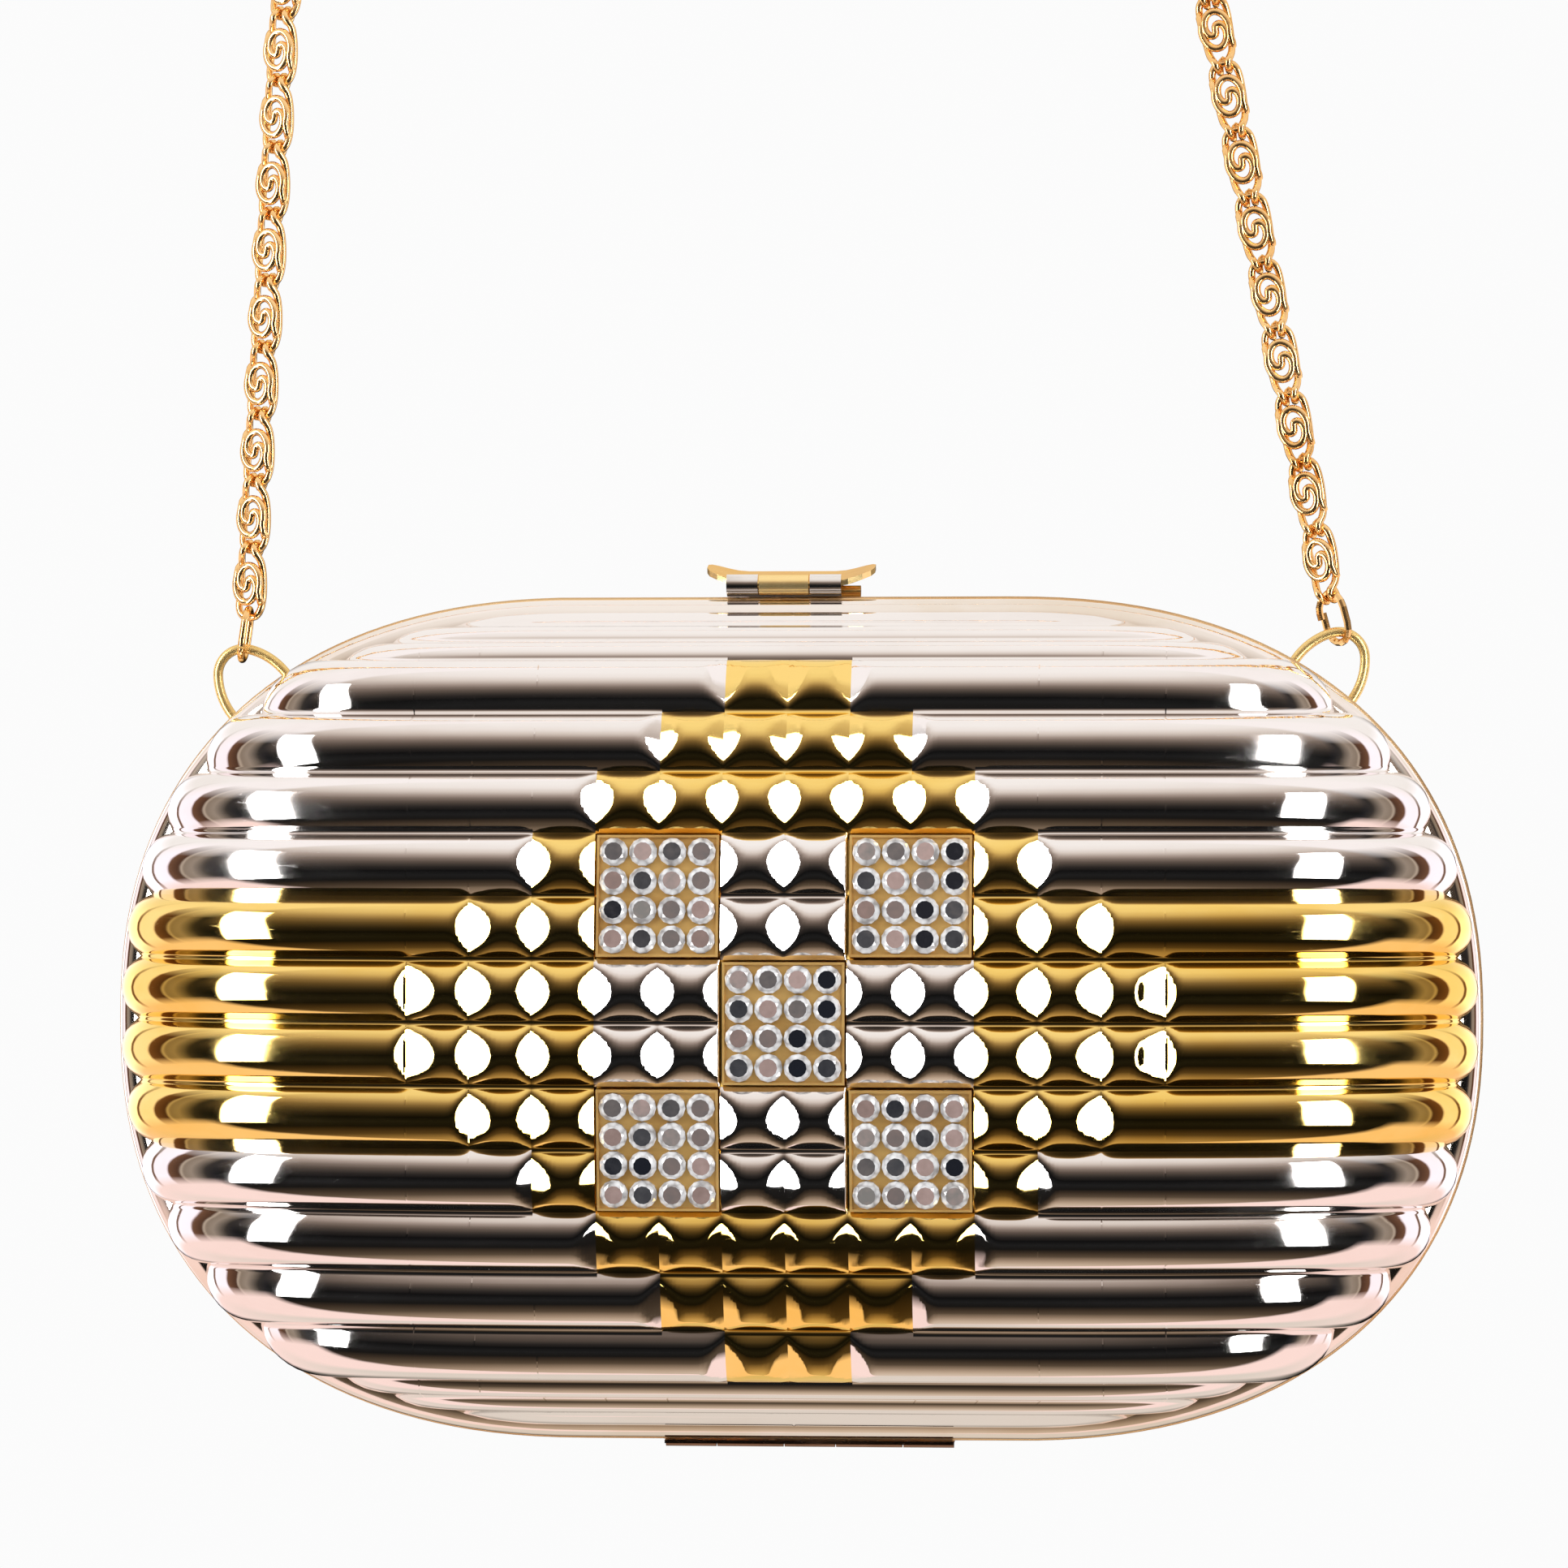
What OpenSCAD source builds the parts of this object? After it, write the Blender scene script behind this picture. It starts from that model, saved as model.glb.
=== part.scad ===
// Evening bag with a hard clamshell case.
// Two fluted metal shells on narrow gilt rims, hinged along the bottom, with a lift lever on top.
// The front carries a stepped diamond of pillow studs and five squares of flat-backed crystals.
// It hangs from two wire D-rings, two split rings and a chain of scroll links.
// X runs across the bag, Y from front to back, Z up; the origin is the hold point under the chain.

/* [Case outline] */
// Half width of the closed case, over the rims
case_half_w = 84.1; // [80:0.1:90]
// Half height of the closed case, over the rims
case_half_h = 51.85; // [49:0.05:56]
// Half length of the straight stretch along the top and along the bottom
straight_half = 26; // [24:0.5:30]
// Roundness of the two ends: 2 is an ellipse and a larger number is squarer
end_power = 2.3; // [2.1:0.05:2.5]

/* [Shells] */
// Depth of each shell's dome beyond its rim, measured in the grooves
dome_depth = 20.2; // [17:0.1:24]
// Inset of the fluted field from the rim's edge at the two ends
field_inset_x = 2.9; // [2.7:0.05:4]
// Inset of the fluted field from the rim's edge along the top and the bottom
field_inset_z = 2.25; // [2:0.05:3]
// Thickness of the shells' sheet metal
sheet = 0.6; // [0.5:0.05:0.8]
// Side of one square stud, which is also the width of a main flute
stud = 7.6; // [7.2:0.05:8]
// Height of a main flute above the grooves beside it
flute_rise = 2.3; // [1.6:0.1:2.6]
// Width of a narrow flute along the shell
trim_w = 3.1; // [2.8:0.1:3.4]
// Height of a narrow flute above the grooves beside it
trim_rise = 1; // [0.6:0.1:1.2]
// Depth that the floor of a crystal square is pressed in below groove level
cell_sink = 0.2; // [0.1:0.05:0.3]
// Thickness of the flat flange round each shell
flange_t = 0.6; // [0.5:0.05:0.9]
// Step from the rim's outer edge in to the flange's edge
flange_step = 0.4; // [0.3:0.05:0.5]

/* [Rims] */
// Depth of each rim, from the parting plane to the shell's flange
rim_depth = 2.4; // [2.3:0.05:3]
// Thickness of the rims' metal, seen from the front
rim_wall = 1.2; // [1.1:0.05:1.4]
// Gap from the parting plane to each closed rim
rim_gap = 0.1; // [0.05:0.01:0.15]

/* [Linings] */
// Thickness of the fabric lining on its card
lining_t = 0.8; // [0.6:0.1:1.2]
// Space between a lining and its shell, measured in the grooves
lining_gap = 0.5; // [0.45:0.05:0.8]

/* [Crystal squares] */
// Space from a crystal tray's sides to the studs and flutes round its square
tray_margin = 0.25; // [0.2:0.05:0.5]
// Thickness of a tray's floor
tray_floor = 0.3; // [0.25:0.05:0.5]
// Width of the tray's raised edge
tray_lip_w = 0.3; // [0.2:0.05:0.35]
// Height of the tray's raised edge above the floor
tray_lip_h = 0.35; // [0.2:0.05:0.5]
// Gap between a tray and the middle of the pressed floor that it is glued to
tray_gap = 0.25; // [0.25:0.05:0.35]
// Gap between neighbouring crystals
stone_gap = 0.1; // [0.05:0.05:0.3]
// Height of a crystal's straight edge
stone_girdle = 0.5; // [0.3:0.05:0.7]
// Height of a crystal's cut slope above that edge
stone_crown = 0.6; // [0.4:0.05:0.8]
// Width of a crystal's flat top
stone_table = 2.1; // [1.7:0.05:2.4]

/* [Bottom hinge] */
// Outer radius of the hinge barrel
hinge_r = 0.9; // [0.85:0.05:0.95]
// Thickness of the two hinge leaves, soldered under the rims
hinge_leaf_t = 0.4; // [0.3:0.05:0.5]
// Diameter of the hinge pin
hinge_pin_d = 0.9; // [0.8:0.05:1]
// Length of each of the three back knuckles
back_knuckle = 6.2; // [5.5:0.1:7]
// Length of each of the two front knuckles
front_knuckle = 8.15; // [7:0.1:9]
// Place of the hinge's middle along X
hinge_x = 1.6; // [0:0.1:3]

/* [Clasp] */
// Outer radius of the clasp barrel
clasp_r = 1.25; // [1.2:0.01:1.35]
// Height of the clasp barrel's axis above the rims
clasp_lift = 1.45; // [1.4:0.05:1.6]
// Diameter of the clasp pin
clasp_pin_d = 0.9; // [0.8:0.05:1]
// Length of the lever's own knuckle, the middle one
lever_knuckle = 6.1; // [5.5:0.1:7]
// Length of each fixed knuckle
side_knuckle = 3.85; // [3.4:0.05:4.4]
// Thickness of the plate that carries the fixed knuckles
clasp_leaf_t = 0.4; // [0.3:0.05:0.45]
// Whole width of the lever, tip to tip
lever_w = 20.8; // [19:0.1:23]
// Thickness of the lever's plate
lever_t = 0.7; // [0.6:0.05:0.9]
// Length of the lever's plate from the barrel to its back edge
lever_reach = 6.4; // [5.8:0.1:7]
// Height that the lever's tips sweep up above its middle
tip_rise = 0.95; // [0.5:0.05:1.2]
// Upward slope of the lever's plate, in degrees
lever_slope = 13; // [10:1:15]
// Place of the clasp barrel's middle along X
clasp_x = -1.4; // [-3:0.1:1]
// Place of the lever plate's middle along X
lever_x = -0.9; // [-1.8:0.1:0]
// Diameter of the catch bar on the back rim
catch_d = 1.4; // [1.2:0.05:1.5]
// Length of the catch bar
catch_w = 14; // [12:0.1:15]
// Place of the catch bar's middle along X
catch_x = 0.8; // [-1:0.1:1.5]

/* [D-rings] */
// Thickness of the D-rings' wire
d_wire = 1.2; // [1:0.05:1.3]
// Half the distance between a D-ring's two legs
d_half_w = 4.25; // [3.9:0.05:4.8]
// Height of a D-ring above the rim
d_height = 6.3; // [5.9:0.05:7]
// Radius of the bend at a D-ring's top
d_top_r = 3.2; // [3:0.05:3.6]
// Depth of a D-ring's straight foot below the rim's edge
d_foot = 2.4; // [2.3:0.05:2.8]
// Place of the D-rings behind the parting plane
ring_y = 1.25; // [1.2:0.01:1.3]
// Drop of the left D-ring's seat below the top of the rims
seat_left_drop = 11.85; // [10:0.05:14]
// Drop of the right D-ring's seat below the top of the rims
seat_right_drop = 10.15; // [9:0.05:13]
// Wall of the small tube that holds a D-ring's foot inside the case
lug_wall = 0.4; // [0.3:0.05:0.45]
// Length of that tube
lug_len = 5.4; // [4.5:0.1:6]

/* [Split rings] */
// Thickness of the split rings' wire
split_wire = 0.9; // [0.8:0.05:1]
// Half width of a split ring, to the middle of its wire
split_half_w = 2.2; // [2.1:0.05:2.5]
// Height of a split ring, to the middle of its wire
split_h = 6.3; // [5.9:0.1:7.5]
// Lean of the left split ring toward the bag's middle, in degrees
split_lean_left = 8; // [0:1:12]
// Lean of the right split ring toward the bag's middle, in degrees
split_lean_right = 14.7; // [8:0.1:18]
// Turn of the right split ring out of the bag's plane, in degrees
split_turn_right = 55; // [53:1:60]
// Width of the cut in the left split ring
split_cut = 0.25; // [0.15:0.05:0.4]
// Length of the straight tip at the right split ring's sprung end
split_tip = 0.8; // [0.4:0.1:1.2]

/* [Chain] */
// Thickness of the chain's wire
chain_wire = 0.9; // [0.8:0.05:0.95]
// Longest distance from one link to the next
chain_pitch = 8.4; // [8.2:0.05:9]
// Half width of a link, to the middle of its wire
link_half_w = 1.65; // [1.6:0.05:1.8]
// Play between wires that hook through one another
hook_play = 0.12; // [0.1:0.01:0.2]
// Height of the chain's top above the rims
crown_rise = 118.15; // [108:0.05:138]
// Radius of the chain's two bends up there
crown_r = 45; // [42:1:48]
// Inward lean of the left strand, in degrees
strand_lean_left = 3.3; // [0:0.1:6]
// Inward lean of the right strand, in degrees
strand_lean_right = 11.2; // [6:0.1:13]
// Turn of the left strand's links about their own length, in degrees
twist_left = -40; // [-45:1:0]
// Turn of the right strand's links about their own length, in degrees
twist_right = 12; // [0:1:20]
// Turn of the last link, where it hooks on the right split ring, in degrees
twist_last = 52; // [46:1:58]

/* [Hidden] */
$fn = 48;

// Overrun of every cut past the face that it opens
over = 0.5;
// Running clearance round each pin, on the radius
pin_play = 0.05;
// Gap between neighbouring knuckles
knuckle_gap = 0.15;
// Clearance between a leaf and the other half's knuckles
leaf_play = 0.2;
// Clearance round a D-ring's legs in the rim, on the radius
leg_play = 0.15;
// Play of a split ring under its D-ring
split_play = 0.3;
// Clearance between the lever's plate and the fixed knuckles
lever_play = 0.2;
// Clearance between the lever's bead and the catch bar
catch_play = 0.15;
// Place of the catch bar behind the parting plane, above the back rim
catch_y = 1.6;
// Solder under the catch bar
catch_seat = 0.05;
// Diameter of the bead under the lever
bead_d = 0.8;

// Main flutes from the case's middle to its top, which is also the motif's number of steps
steps = 6;
// How many of them are one stud high, as the squares need
even_flutes = 3;
// Edges of the flutes past those, as shares of the way left to the dome's top
upper_shares = [0, 0.276, 0.541, 0.78, 0.87, 0.94, 1];
flute_count = even_flutes + len(upper_shares) - 1;
// Part of the shell's width that the columns may fill at the narrow top and bottom
field_share = 0.9;
// Part of its rise that a flute keeps where it runs out on the flange
flute_end_share = 0.85;

dome_a = case_half_w - field_inset_x;
dome_b = case_half_h - field_inset_z;
flange_a = case_half_w - flange_step;
flange_b = case_half_h - flange_step;
// Heights above the case's middle
seat_left_z = case_half_h - seat_left_drop;
seat_right_z = case_half_h - seat_right_drop;
crown_z = case_half_h + crown_rise;

// ---- outline ----
// One quarter of a rounded outline of half width a and half height b
function quarter(a, b, n = 22) = [
    for (i = [0 : n])
        let (t = 90 * i / n)
        [straight_half + (a - straight_half) * pow(cos(t), 2 / end_power),
         b * pow(sin(t), 2 / end_power)]
];
// The whole outline, counter-clockwise
function outline(a, b) =
    let (q = quarter(a, b), n = len(q) - 1)
    concat(
        q,
        [for (i = [n : -1 : 0]) [-q[i].x, q[i].y]],
        [for (i = [1 : n]) [-q[i].x, -q[i].y]],
        [for (i = [n : -1 : 1]) [q[i].x, -q[i].y]]
    );
// Half width of an outline at height z
function reach_x(a, b, z) =
    straight_half + (a - straight_half) * pow(max(0, 1 - pow(abs(z) / b, end_power)), 1 / end_power);
// Outward direction of the rim at height z, on the right-hand side
function rim_normal(z) =
    let (
        e = (reach_x(case_half_w, case_half_h, z) - straight_half) / (case_half_w - straight_half),
        v = [pow(e, end_power - 1) / (case_half_w - straight_half),
             pow(z / case_half_h, end_power - 1) / case_half_h]
    )
    v / norm(v);

// A flat plate of that outline from y0 to y1
module slab(y0, y1, pts) {
    translate([0, y1, 0]) rotate([90, 0, 0]) linear_extrude(y1 - y0) polygon(pts);
}

// ---- fluted dome ----
function unit(v) = v / norm(v);
// Distance past the straight stretch, as a share of the rounded end
function past(x) = max(abs(x) - straight_half, 0) / (dome_a - straight_half);
// 0 in the dome's middle and 1 at its edge
function level(x, z) = pow(pow(past(x), end_power) + pow(abs(z) / dome_b, end_power), 1 / end_power);
function dome_w(x, z) = dome_depth * sqrt(max(0, 1 - pow(level(x, z), 2)));
function dome_normal(x, z, w) =
    let (r = pow(max(level(x, z), 0.001), 2 - end_power))
    unit([sign(x) * r * pow(past(x), end_power - 1) / (dome_a - straight_half),
          w / (dome_depth * dome_depth),
          sign(z) * r * pow(abs(z) / dome_b, end_power - 1) / dome_b]);
// Height of a circular arch of width c and rise h, at the part u of its width
function arch(u, c, h) =
    let (r = (c * c / 4 + h * h) / (2 * h), s = c * (u - 1 / 2))
    sqrt(max(0, r * r - s * s)) - (r - h);

// Row list: [flute, part of its width, side]; main and trim are the facets across each kind
function upper_rows(main, trim) = concat(
    [for (i = [0 : flute_count - 1])
        let (m = i < steps ? main : trim)
        for (j = [0 : m - 1]) [i, j / m, 1]],
    [[flute_count - 1, 1, 1]]
);
function all_rows(main, trim) =
    let (u = upper_rows(main, trim))
    concat([for (k = [len(u) - 1 : -1 : 1]) [u[k][0], u[k][1], -1]], u);
// Height of the lower edge of flute i above the case's middle
function flute_z(i) =
    i <= even_flutes ? i * stud
    : even_flutes * stud + (dome_b - even_flutes * stud) * upper_shares[i - even_flutes];
function row_z(r) =
    let (t0 = asin(flute_z(r[0]) / dome_b), t1 = asin(min(1, flute_z(r[0] + 1) / dome_b)))
    r[2] * dome_b * sin(t0 + (t1 - t0) * r[1]);
function at_edge(r) = r[0] == flute_count - 1 && r[1] == 1;

// Column list: [half studs from the middle, part of the plain stretch beyond, side]
function all_cols(skip, ends) = concat(
    [for (j = [ends : -1 : 1]) [-2 * steps, j / ends, -1]],
    [for (c = [-2 * steps : skip : 2 * steps]) [c, 0, sign(c)]],
    [for (j = [1 : ends]) [2 * steps, j / ends, 1]]
);
function col_x(c, z) =
    let (x = reach_x(dome_a, dome_b, z), w = min(steps * stud, field_share * x))
    c[0] / (2 * steps) * w + c[2] * (x - w) * sin(90 * c[1]);

// Rise of the surface above groove level
function plain_rise(r, c) =
    (r[0] < steps ? arch(r[1], stud, flute_rise) : arch(r[1], trim_w, trim_rise))
    * (1 - (1 - flute_end_share) * c[1] * c[1]);
function in_cell(r, c) =
    c[1] == 0 && ((r[0] == 0 && abs(c[0]) < 2)
        || (abs(c[0]) > 2 && abs(c[0]) < 6 && ((r[0] == 1 && r[1] > 0) || r[0] == 2)));
function in_groove(r, c) =
    c[1] == 0 && r[0] < steps && c[0] % 2 == 0 && abs(c[0]) <= 2 * (steps - r[0]);
// Ridges: 0 none, 1 flutes, 2 flutes with the motif's studs and squares
function rise(r, c, ridges) =
    ridges == 0 ? 0
    : ridges == 2 && in_cell(r, c) ? -cell_sink
    : ridges == 2 && in_groove(r, c) ? 0
    : plain_rise(r, c);

function dome_point(r, c, ridges, inset) =
    let (
        z = row_z(r),
        x = col_x(c, z),
        w = at_edge(r) || c[1] == 1 ? 0 : dome_w(x, z)
    )
    [x, w, z] + (rise(r, c, ridges) - inset) * dome_normal(x, z, w);

// Closed solid under the dome; drop lowers its flat base below the flange plane
module dome(ridges, inset, drop, rows, cols) {
    nr = len(rows);
    nc = len(cols);
    top = [for (r = rows) for (c = cols) dome_point(r, c, ridges, inset)];
    loop = concat(
        [for (c = [0 : nc - 1]) c],
        [for (r = [1 : nr - 1]) r * nc + nc - 1],
        [for (c = [nc - 2 : -1 : 0]) (nr - 1) * nc + c],
        [for (r = [nr - 2 : -1 : 1]) r * nc]
    );
    n = len(loop);
    base = [for (i = loop) top[i] - [0, drop, 0]];
    faces = concat(
        [for (r = [0 : nr - 2]) for (c = [0 : nc - 2])
            let (a = r * nc + c) each [[a, a + 1, a + nc + 1], [a, a + nc + 1, a + nc]]],
        drop == 0
            ? [[for (i = [n - 1 : -1 : 0]) loop[i]]]
            : concat(
                [for (i = [0 : n - 1])
                    let (j = (i + 1) % n, b = len(top))
                    each [[loop[i], b + j, loop[j]], [loop[i], b + i, b + j]]],
                [[for (i = [n - 1 : -1 : 0]) len(top) + i]])
    );
    polyhedron(points = drop == 0 ? top : concat(top, base), faces = faces, convexity = 6);
}

// Sheet shell with its flange, domed toward +Y
module shell(ridges, rows, cols, inner_rows, inner_cols) {
    translate([0, rim_depth, 0])
        resize([2 * flange_a, 0, 2 * flange_b])
            difference() {
                union() {
                    dome(ridges, 0, 0, rows, cols);
                    slab(0, flange_t, outline(flange_a, flange_b));
                }
                dome(ridges, sheet, over, inner_rows, inner_cols);
            }
}
module lining() {
    out = sheet + lining_gap;
    translate([0, rim_depth, 0])
        resize([2 * (dome_a - out), 0, 2 * (dome_b - out)])
            difference() {
                dome(0, out, 0, all_rows(1, 1), all_cols(4, 4));
                dome(0, out + lining_t, over, all_rows(1, 1), all_cols(4, 4));
            }
}

// ---- places ----
// Hold point: under the chain, half a link below its top
hold_z = crown_z - link_half_w - chain_wire / 2;
module place() {
    translate([0, -ring_y, -hold_z]) children();
}
module front() {
    mirror([0, 1, 0]) children();
}

// ---- shells, rims, linings ----
module back_shell() {
    color("silver") place()
        shell(1, all_rows(3, 2), all_cols(4, 6), all_rows(3, 1), all_cols(4, 5));
}
module front_shell() {
    color("silver") place() front()
        shell(2, all_rows(4, 2), all_cols(1, 8), all_rows(3, 1), all_cols(2, 6));
}
// Clearance slot for the hinge barrel, cut in both rims
module hinge_slot() {
    slot_y = hinge_r + leaf_play;
    slot_w = hinge_len + 2 * knuckle_gap;
    translate([hinge_x - slot_w / 2, -slot_y, hinge_z - over])
        cube([slot_w, 2 * slot_y, over + hinge_r + knuckle_gap]);
}
module rim() {
    difference() {
        slab(rim_gap, rim_depth, outline(case_half_w, case_half_h));
        slab(rim_gap - over, rim_depth + over, outline(case_half_w - rim_wall, case_half_h - rim_wall));
        hinge_slot();
    }
}
module back_frame() {
    color("gold") place()
        difference() {
            rim();
            for (side = [-1, 1]) at_seat(side) leg_holes();
        }
}
module front_frame() {
    color("gold") place() front() rim();
}
module back_lining() {
    color("black") place() lining();
}
module front_lining() {
    color("black") place() front() lining();
}

// ---- crystal squares ----
// Places its child on the front shell over the square in column cx and row cz of the motif
module on_square(cx, cz) {
    x = cx * 2 * stud;
    z = cz * 2 * stud;
    w = dome_w(x, z);
    n = dome_normal(x, z, w);
    front() translate([0, rim_depth, 0])
        translate([x, w, z] + (tray_gap - cell_sink) * n)
            rotate([asin(n.z), 0, atan2(-n.x, n.y)])
                children();
}
tray_side = 2 * (stud - tray_margin);
module tray() {
    inner = tray_side - 2 * tray_lip_w;
    difference() {
        translate([-tray_side / 2, 0, -tray_side / 2])
            cube([tray_side, tray_floor + tray_lip_h, tray_side]);
        translate([-inner / 2, tray_floor, -inner / 2])
            cube([inner, tray_lip_h + over, inner]);
    }
}
stone_rows = 4;
module stones() {
    inner = tray_side - 2 * tray_lip_w;
    pitch = inner / stone_rows;
    stone_d = pitch - stone_gap;
    for (i = [0 : stone_rows - 1]) for (j = [0 : stone_rows - 1])
        translate([(i + 1 / 2) * pitch - inner / 2, tray_floor, (j + 1 / 2) * pitch - inner / 2])
            rotate([-90, 0, 0]) rotate_extrude()
                polygon([
                    [0, 0],
                    [stone_d / 2, 0],
                    [stone_d / 2, stone_girdle],
                    [stone_table / 2, stone_girdle + stone_crown],
                    [0, stone_girdle + stone_crown]
                ]);
}
module tray_centre() { color("gold") place() on_square(0, 0) tray(); }
module tray_upper_left() { color("gold") place() on_square(-1, 1) tray(); }
module tray_upper_right() { color("gold") place() on_square(1, 1) tray(); }
module tray_lower_left() { color("gold") place() on_square(-1, -1) tray(); }
module tray_lower_right() { color("gold") place() on_square(1, -1) tray(); }
module stones_centre() { color("lightgray") place() on_square(0, 0) stones(); }
module stones_upper_left() { color("lightgray") place() on_square(-1, 1) stones(); }
module stones_upper_right() { color("lightgray") place() on_square(1, 1) stones(); }
module stones_lower_left() { color("lightgray") place() on_square(-1, -1) stones(); }
module stones_lower_right() { color("lightgray") place() on_square(1, -1) stones(); }

// ---- bottom hinge ----
// The axis lies in the parting plane, just under the rims
hinge_z = -case_half_h - pin_play;
hinge_len = 3 * back_knuckle + 2 * front_knuckle + 4 * knuckle_gap;
hinge_bore = hinge_pin_d / 2 + pin_play;
// Start of each knuckle along the barrel, with the back ones first, third and fifth
function knuckle_x(i) =
    hinge_x - hinge_len / 2 + i * knuckle_gap
    + ceil(i / 2) * back_knuckle + floor(i / 2) * front_knuckle;
// One leaf toward +Y with knuckles number first, first + 2, ...
module hinge_leaf(first, knuckle) {
    leaf_y = hinge_r + leaf_play;
    leaf_z = -case_half_h - hinge_leaf_t;
    translate([hinge_x - hinge_len / 2, leaf_y, leaf_z])
        cube([hinge_len, rim_depth - leaf_y, hinge_leaf_t]);
    for (i = [first : 2 : 4]) {
        translate([knuckle_x(i), 0, hinge_z]) rotate([0, 90, 0])
            difference() {
                cylinder(r = hinge_r, h = knuckle);
                translate([0, 0, -over]) cylinder(r = hinge_bore, h = knuckle + 2 * over);
            }
        translate([knuckle_x(i), (hinge_r + hinge_bore) / 2, leaf_z])
            cube([knuckle, leaf_y - hinge_bore / 2, hinge_leaf_t]);
    }
}
module hinge_leaf_back() {
    color("peru") place() hinge_leaf(0, back_knuckle);
}
module hinge_leaf_front() {
    color("peru") place() front() hinge_leaf(1, front_knuckle);
}
module hinge_pin() {
    color("darkgoldenrod") place()
        translate([hinge_x - hinge_len / 2, 0, hinge_z]) rotate([0, 90, 0])
            cylinder(d = hinge_pin_d, h = hinge_len);
}

// ---- clasp ----
// Barrel axis over the front rim's outer edge
clasp_y = -rim_depth;
clasp_z = case_half_h + clasp_lift;
clasp_bore = clasp_pin_d / 2 + pin_play;
clasp_len = lever_knuckle + 2 * side_knuckle + 2 * knuckle_gap;
module barrel(x, length) {
    translate([x, clasp_y, clasp_z]) rotate([0, 90, 0])
        difference() {
            cylinder(r = clasp_r, h = length);
            translate([0, 0, -over]) cylinder(r = clasp_bore, h = length + 2 * over);
        }
}
module clasp_leaf() {
    web_h = clasp_lift - clasp_bore - pin_play;
    bare_w = lever_knuckle + 2 * knuckle_gap;
    back_y = -rim_gap - leaf_play;
    color("silver") place() {
        difference() {
            translate([clasp_x - clasp_len / 2, clasp_y, case_half_h])
                cube([clasp_len, back_y - clasp_y, clasp_leaf_t]);
            translate([clasp_x - bare_w / 2, clasp_y - over, case_half_h - over])
                cube([bare_w, clasp_r + leaf_play / 2 + over, clasp_leaf_t + 2 * over]);
        }
        for (x = [clasp_x - clasp_len / 2, clasp_x + bare_w / 2]) {
            barrel(x, side_knuckle);
            translate([x, clasp_y, case_half_h])
                cube([side_knuckle, clasp_r * 0.8, web_h]);
        }
    }
}
module clasp_pin() {
    color("goldenrod") place()
        translate([clasp_x - clasp_len / 2, clasp_y, clasp_z]) rotate([0, 90, 0])
            cylinder(d = clasp_pin_d, h = clasp_len);
}
// Cross-section of the lever's plate along X, with its tips swept up
tip_x_shares = [0, 0.52, 0.64, 0.76, 0.88, 1];
tip_z_shares = [0, 0, 0.12, 0.4, 0.75, 1];
module lever_section() {
    n = len(tip_x_shares) - 1;
    function side(i, s) = [s * tip_x_shares[i] * lever_w / 2, tip_z_shares[i] * tip_rise];
    polygon(concat(
        [for (i = [n : -1 : 1]) side(i, -1)],
        [for (i = [0 : n]) side(i, 1)],
        [for (i = [n : -1 : 0]) side(i, 1) + [0, lever_t]],
        [for (i = [1 : n]) side(i, -1) + [0, lever_t]]
    ));
}
// Outline of the lever's plate seen from above, with its front corners cut away in a curve
plan_x_shares = [0.7, 0.86, 0.96, 1, 1, 0.96];
plan_y_shares = [0, 0.14, 0.34, 0.6, 0.9, 1];
module lever_plan() {
    n = len(plan_x_shares) - 1;
    function corner(i, s) = [s * plan_x_shares[i] * lever_w / 2, plan_y_shares[i] * lever_reach];
    polygon(concat([for (i = [0 : n]) corner(i, 1)], [for (i = [n : -1 : 0]) corner(i, -1)]));
}
module clasp_lever() {
    // Front edge of the plate, behind the fixed knuckles
    front_y = clasp_y + clasp_r + lever_play;
    plate_z = clasp_z - lever_play;
    deep = lever_w / 2;
    bead_z = case_half_h + catch_seat + catch_d + catch_play + bead_d / 2;
    bead_len = catch_w * 0.8;
    color("gold") place() {
        translate([lever_x, front_y, plate_z]) rotate([lever_slope, 0, 0])
            intersection() {
                translate([0, lever_reach + deep / 2, 0]) rotate([90, 0, 0])
                    linear_extrude(lever_reach + deep) lever_section();
                translate([0, 0, -deep / 2]) linear_extrude(deep) lever_plan();
            }
        barrel(clasp_x - lever_knuckle / 2, lever_knuckle);
        // Web from the middle knuckle to the plate
        translate([clasp_x - lever_knuckle / 2, clasp_y + clasp_bore + pin_play, plate_z])
            cube([lever_knuckle, front_y + lever_t - clasp_y - clasp_bore - pin_play, lever_t]);
        // Bead that snaps over the catch bar
        translate([catch_x - bead_len / 2, catch_y, bead_z]) rotate([0, 90, 0])
            cylinder(d = bead_d, h = bead_len);
    }
}
module clasp_catch() {
    color("gold") place()
        translate([catch_x - catch_w / 2, catch_y, case_half_h + catch_seat + catch_d / 2])
            rotate([0, 90, 0]) cylinder(d = catch_d, h = catch_w);
}

// ---- D-rings ----
// Seats its child on the rim: local X runs along the rim and local Z outward
module at_seat(side) {
    z = side < 0 ? seat_left_z : seat_right_z;
    n = rim_normal(z);
    translate([side * reach_x(case_half_w, case_half_h, z), ring_y, z])
        rotate([0, side * atan2(n.x, n.y), 0])
            children();
}
module leg_holes() {
    for (s = [-1, 1])
        translate([s * d_half_w, 0, -d_foot])
            cylinder(d = d_wire + 2 * leg_play, h = d_foot + over);
}
// Radius of the D-ring's sides, which meet the top bend in one smooth line
d_side_r = (pow(d_half_w, 2) + pow(d_height - d_top_r, 2) - pow(d_top_r, 2)) / (2 * (d_half_w - d_top_r));
// Angle at which each side meets the top bend
d_turn = atan2(d_height - d_top_r, d_side_r - d_half_w);
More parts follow.
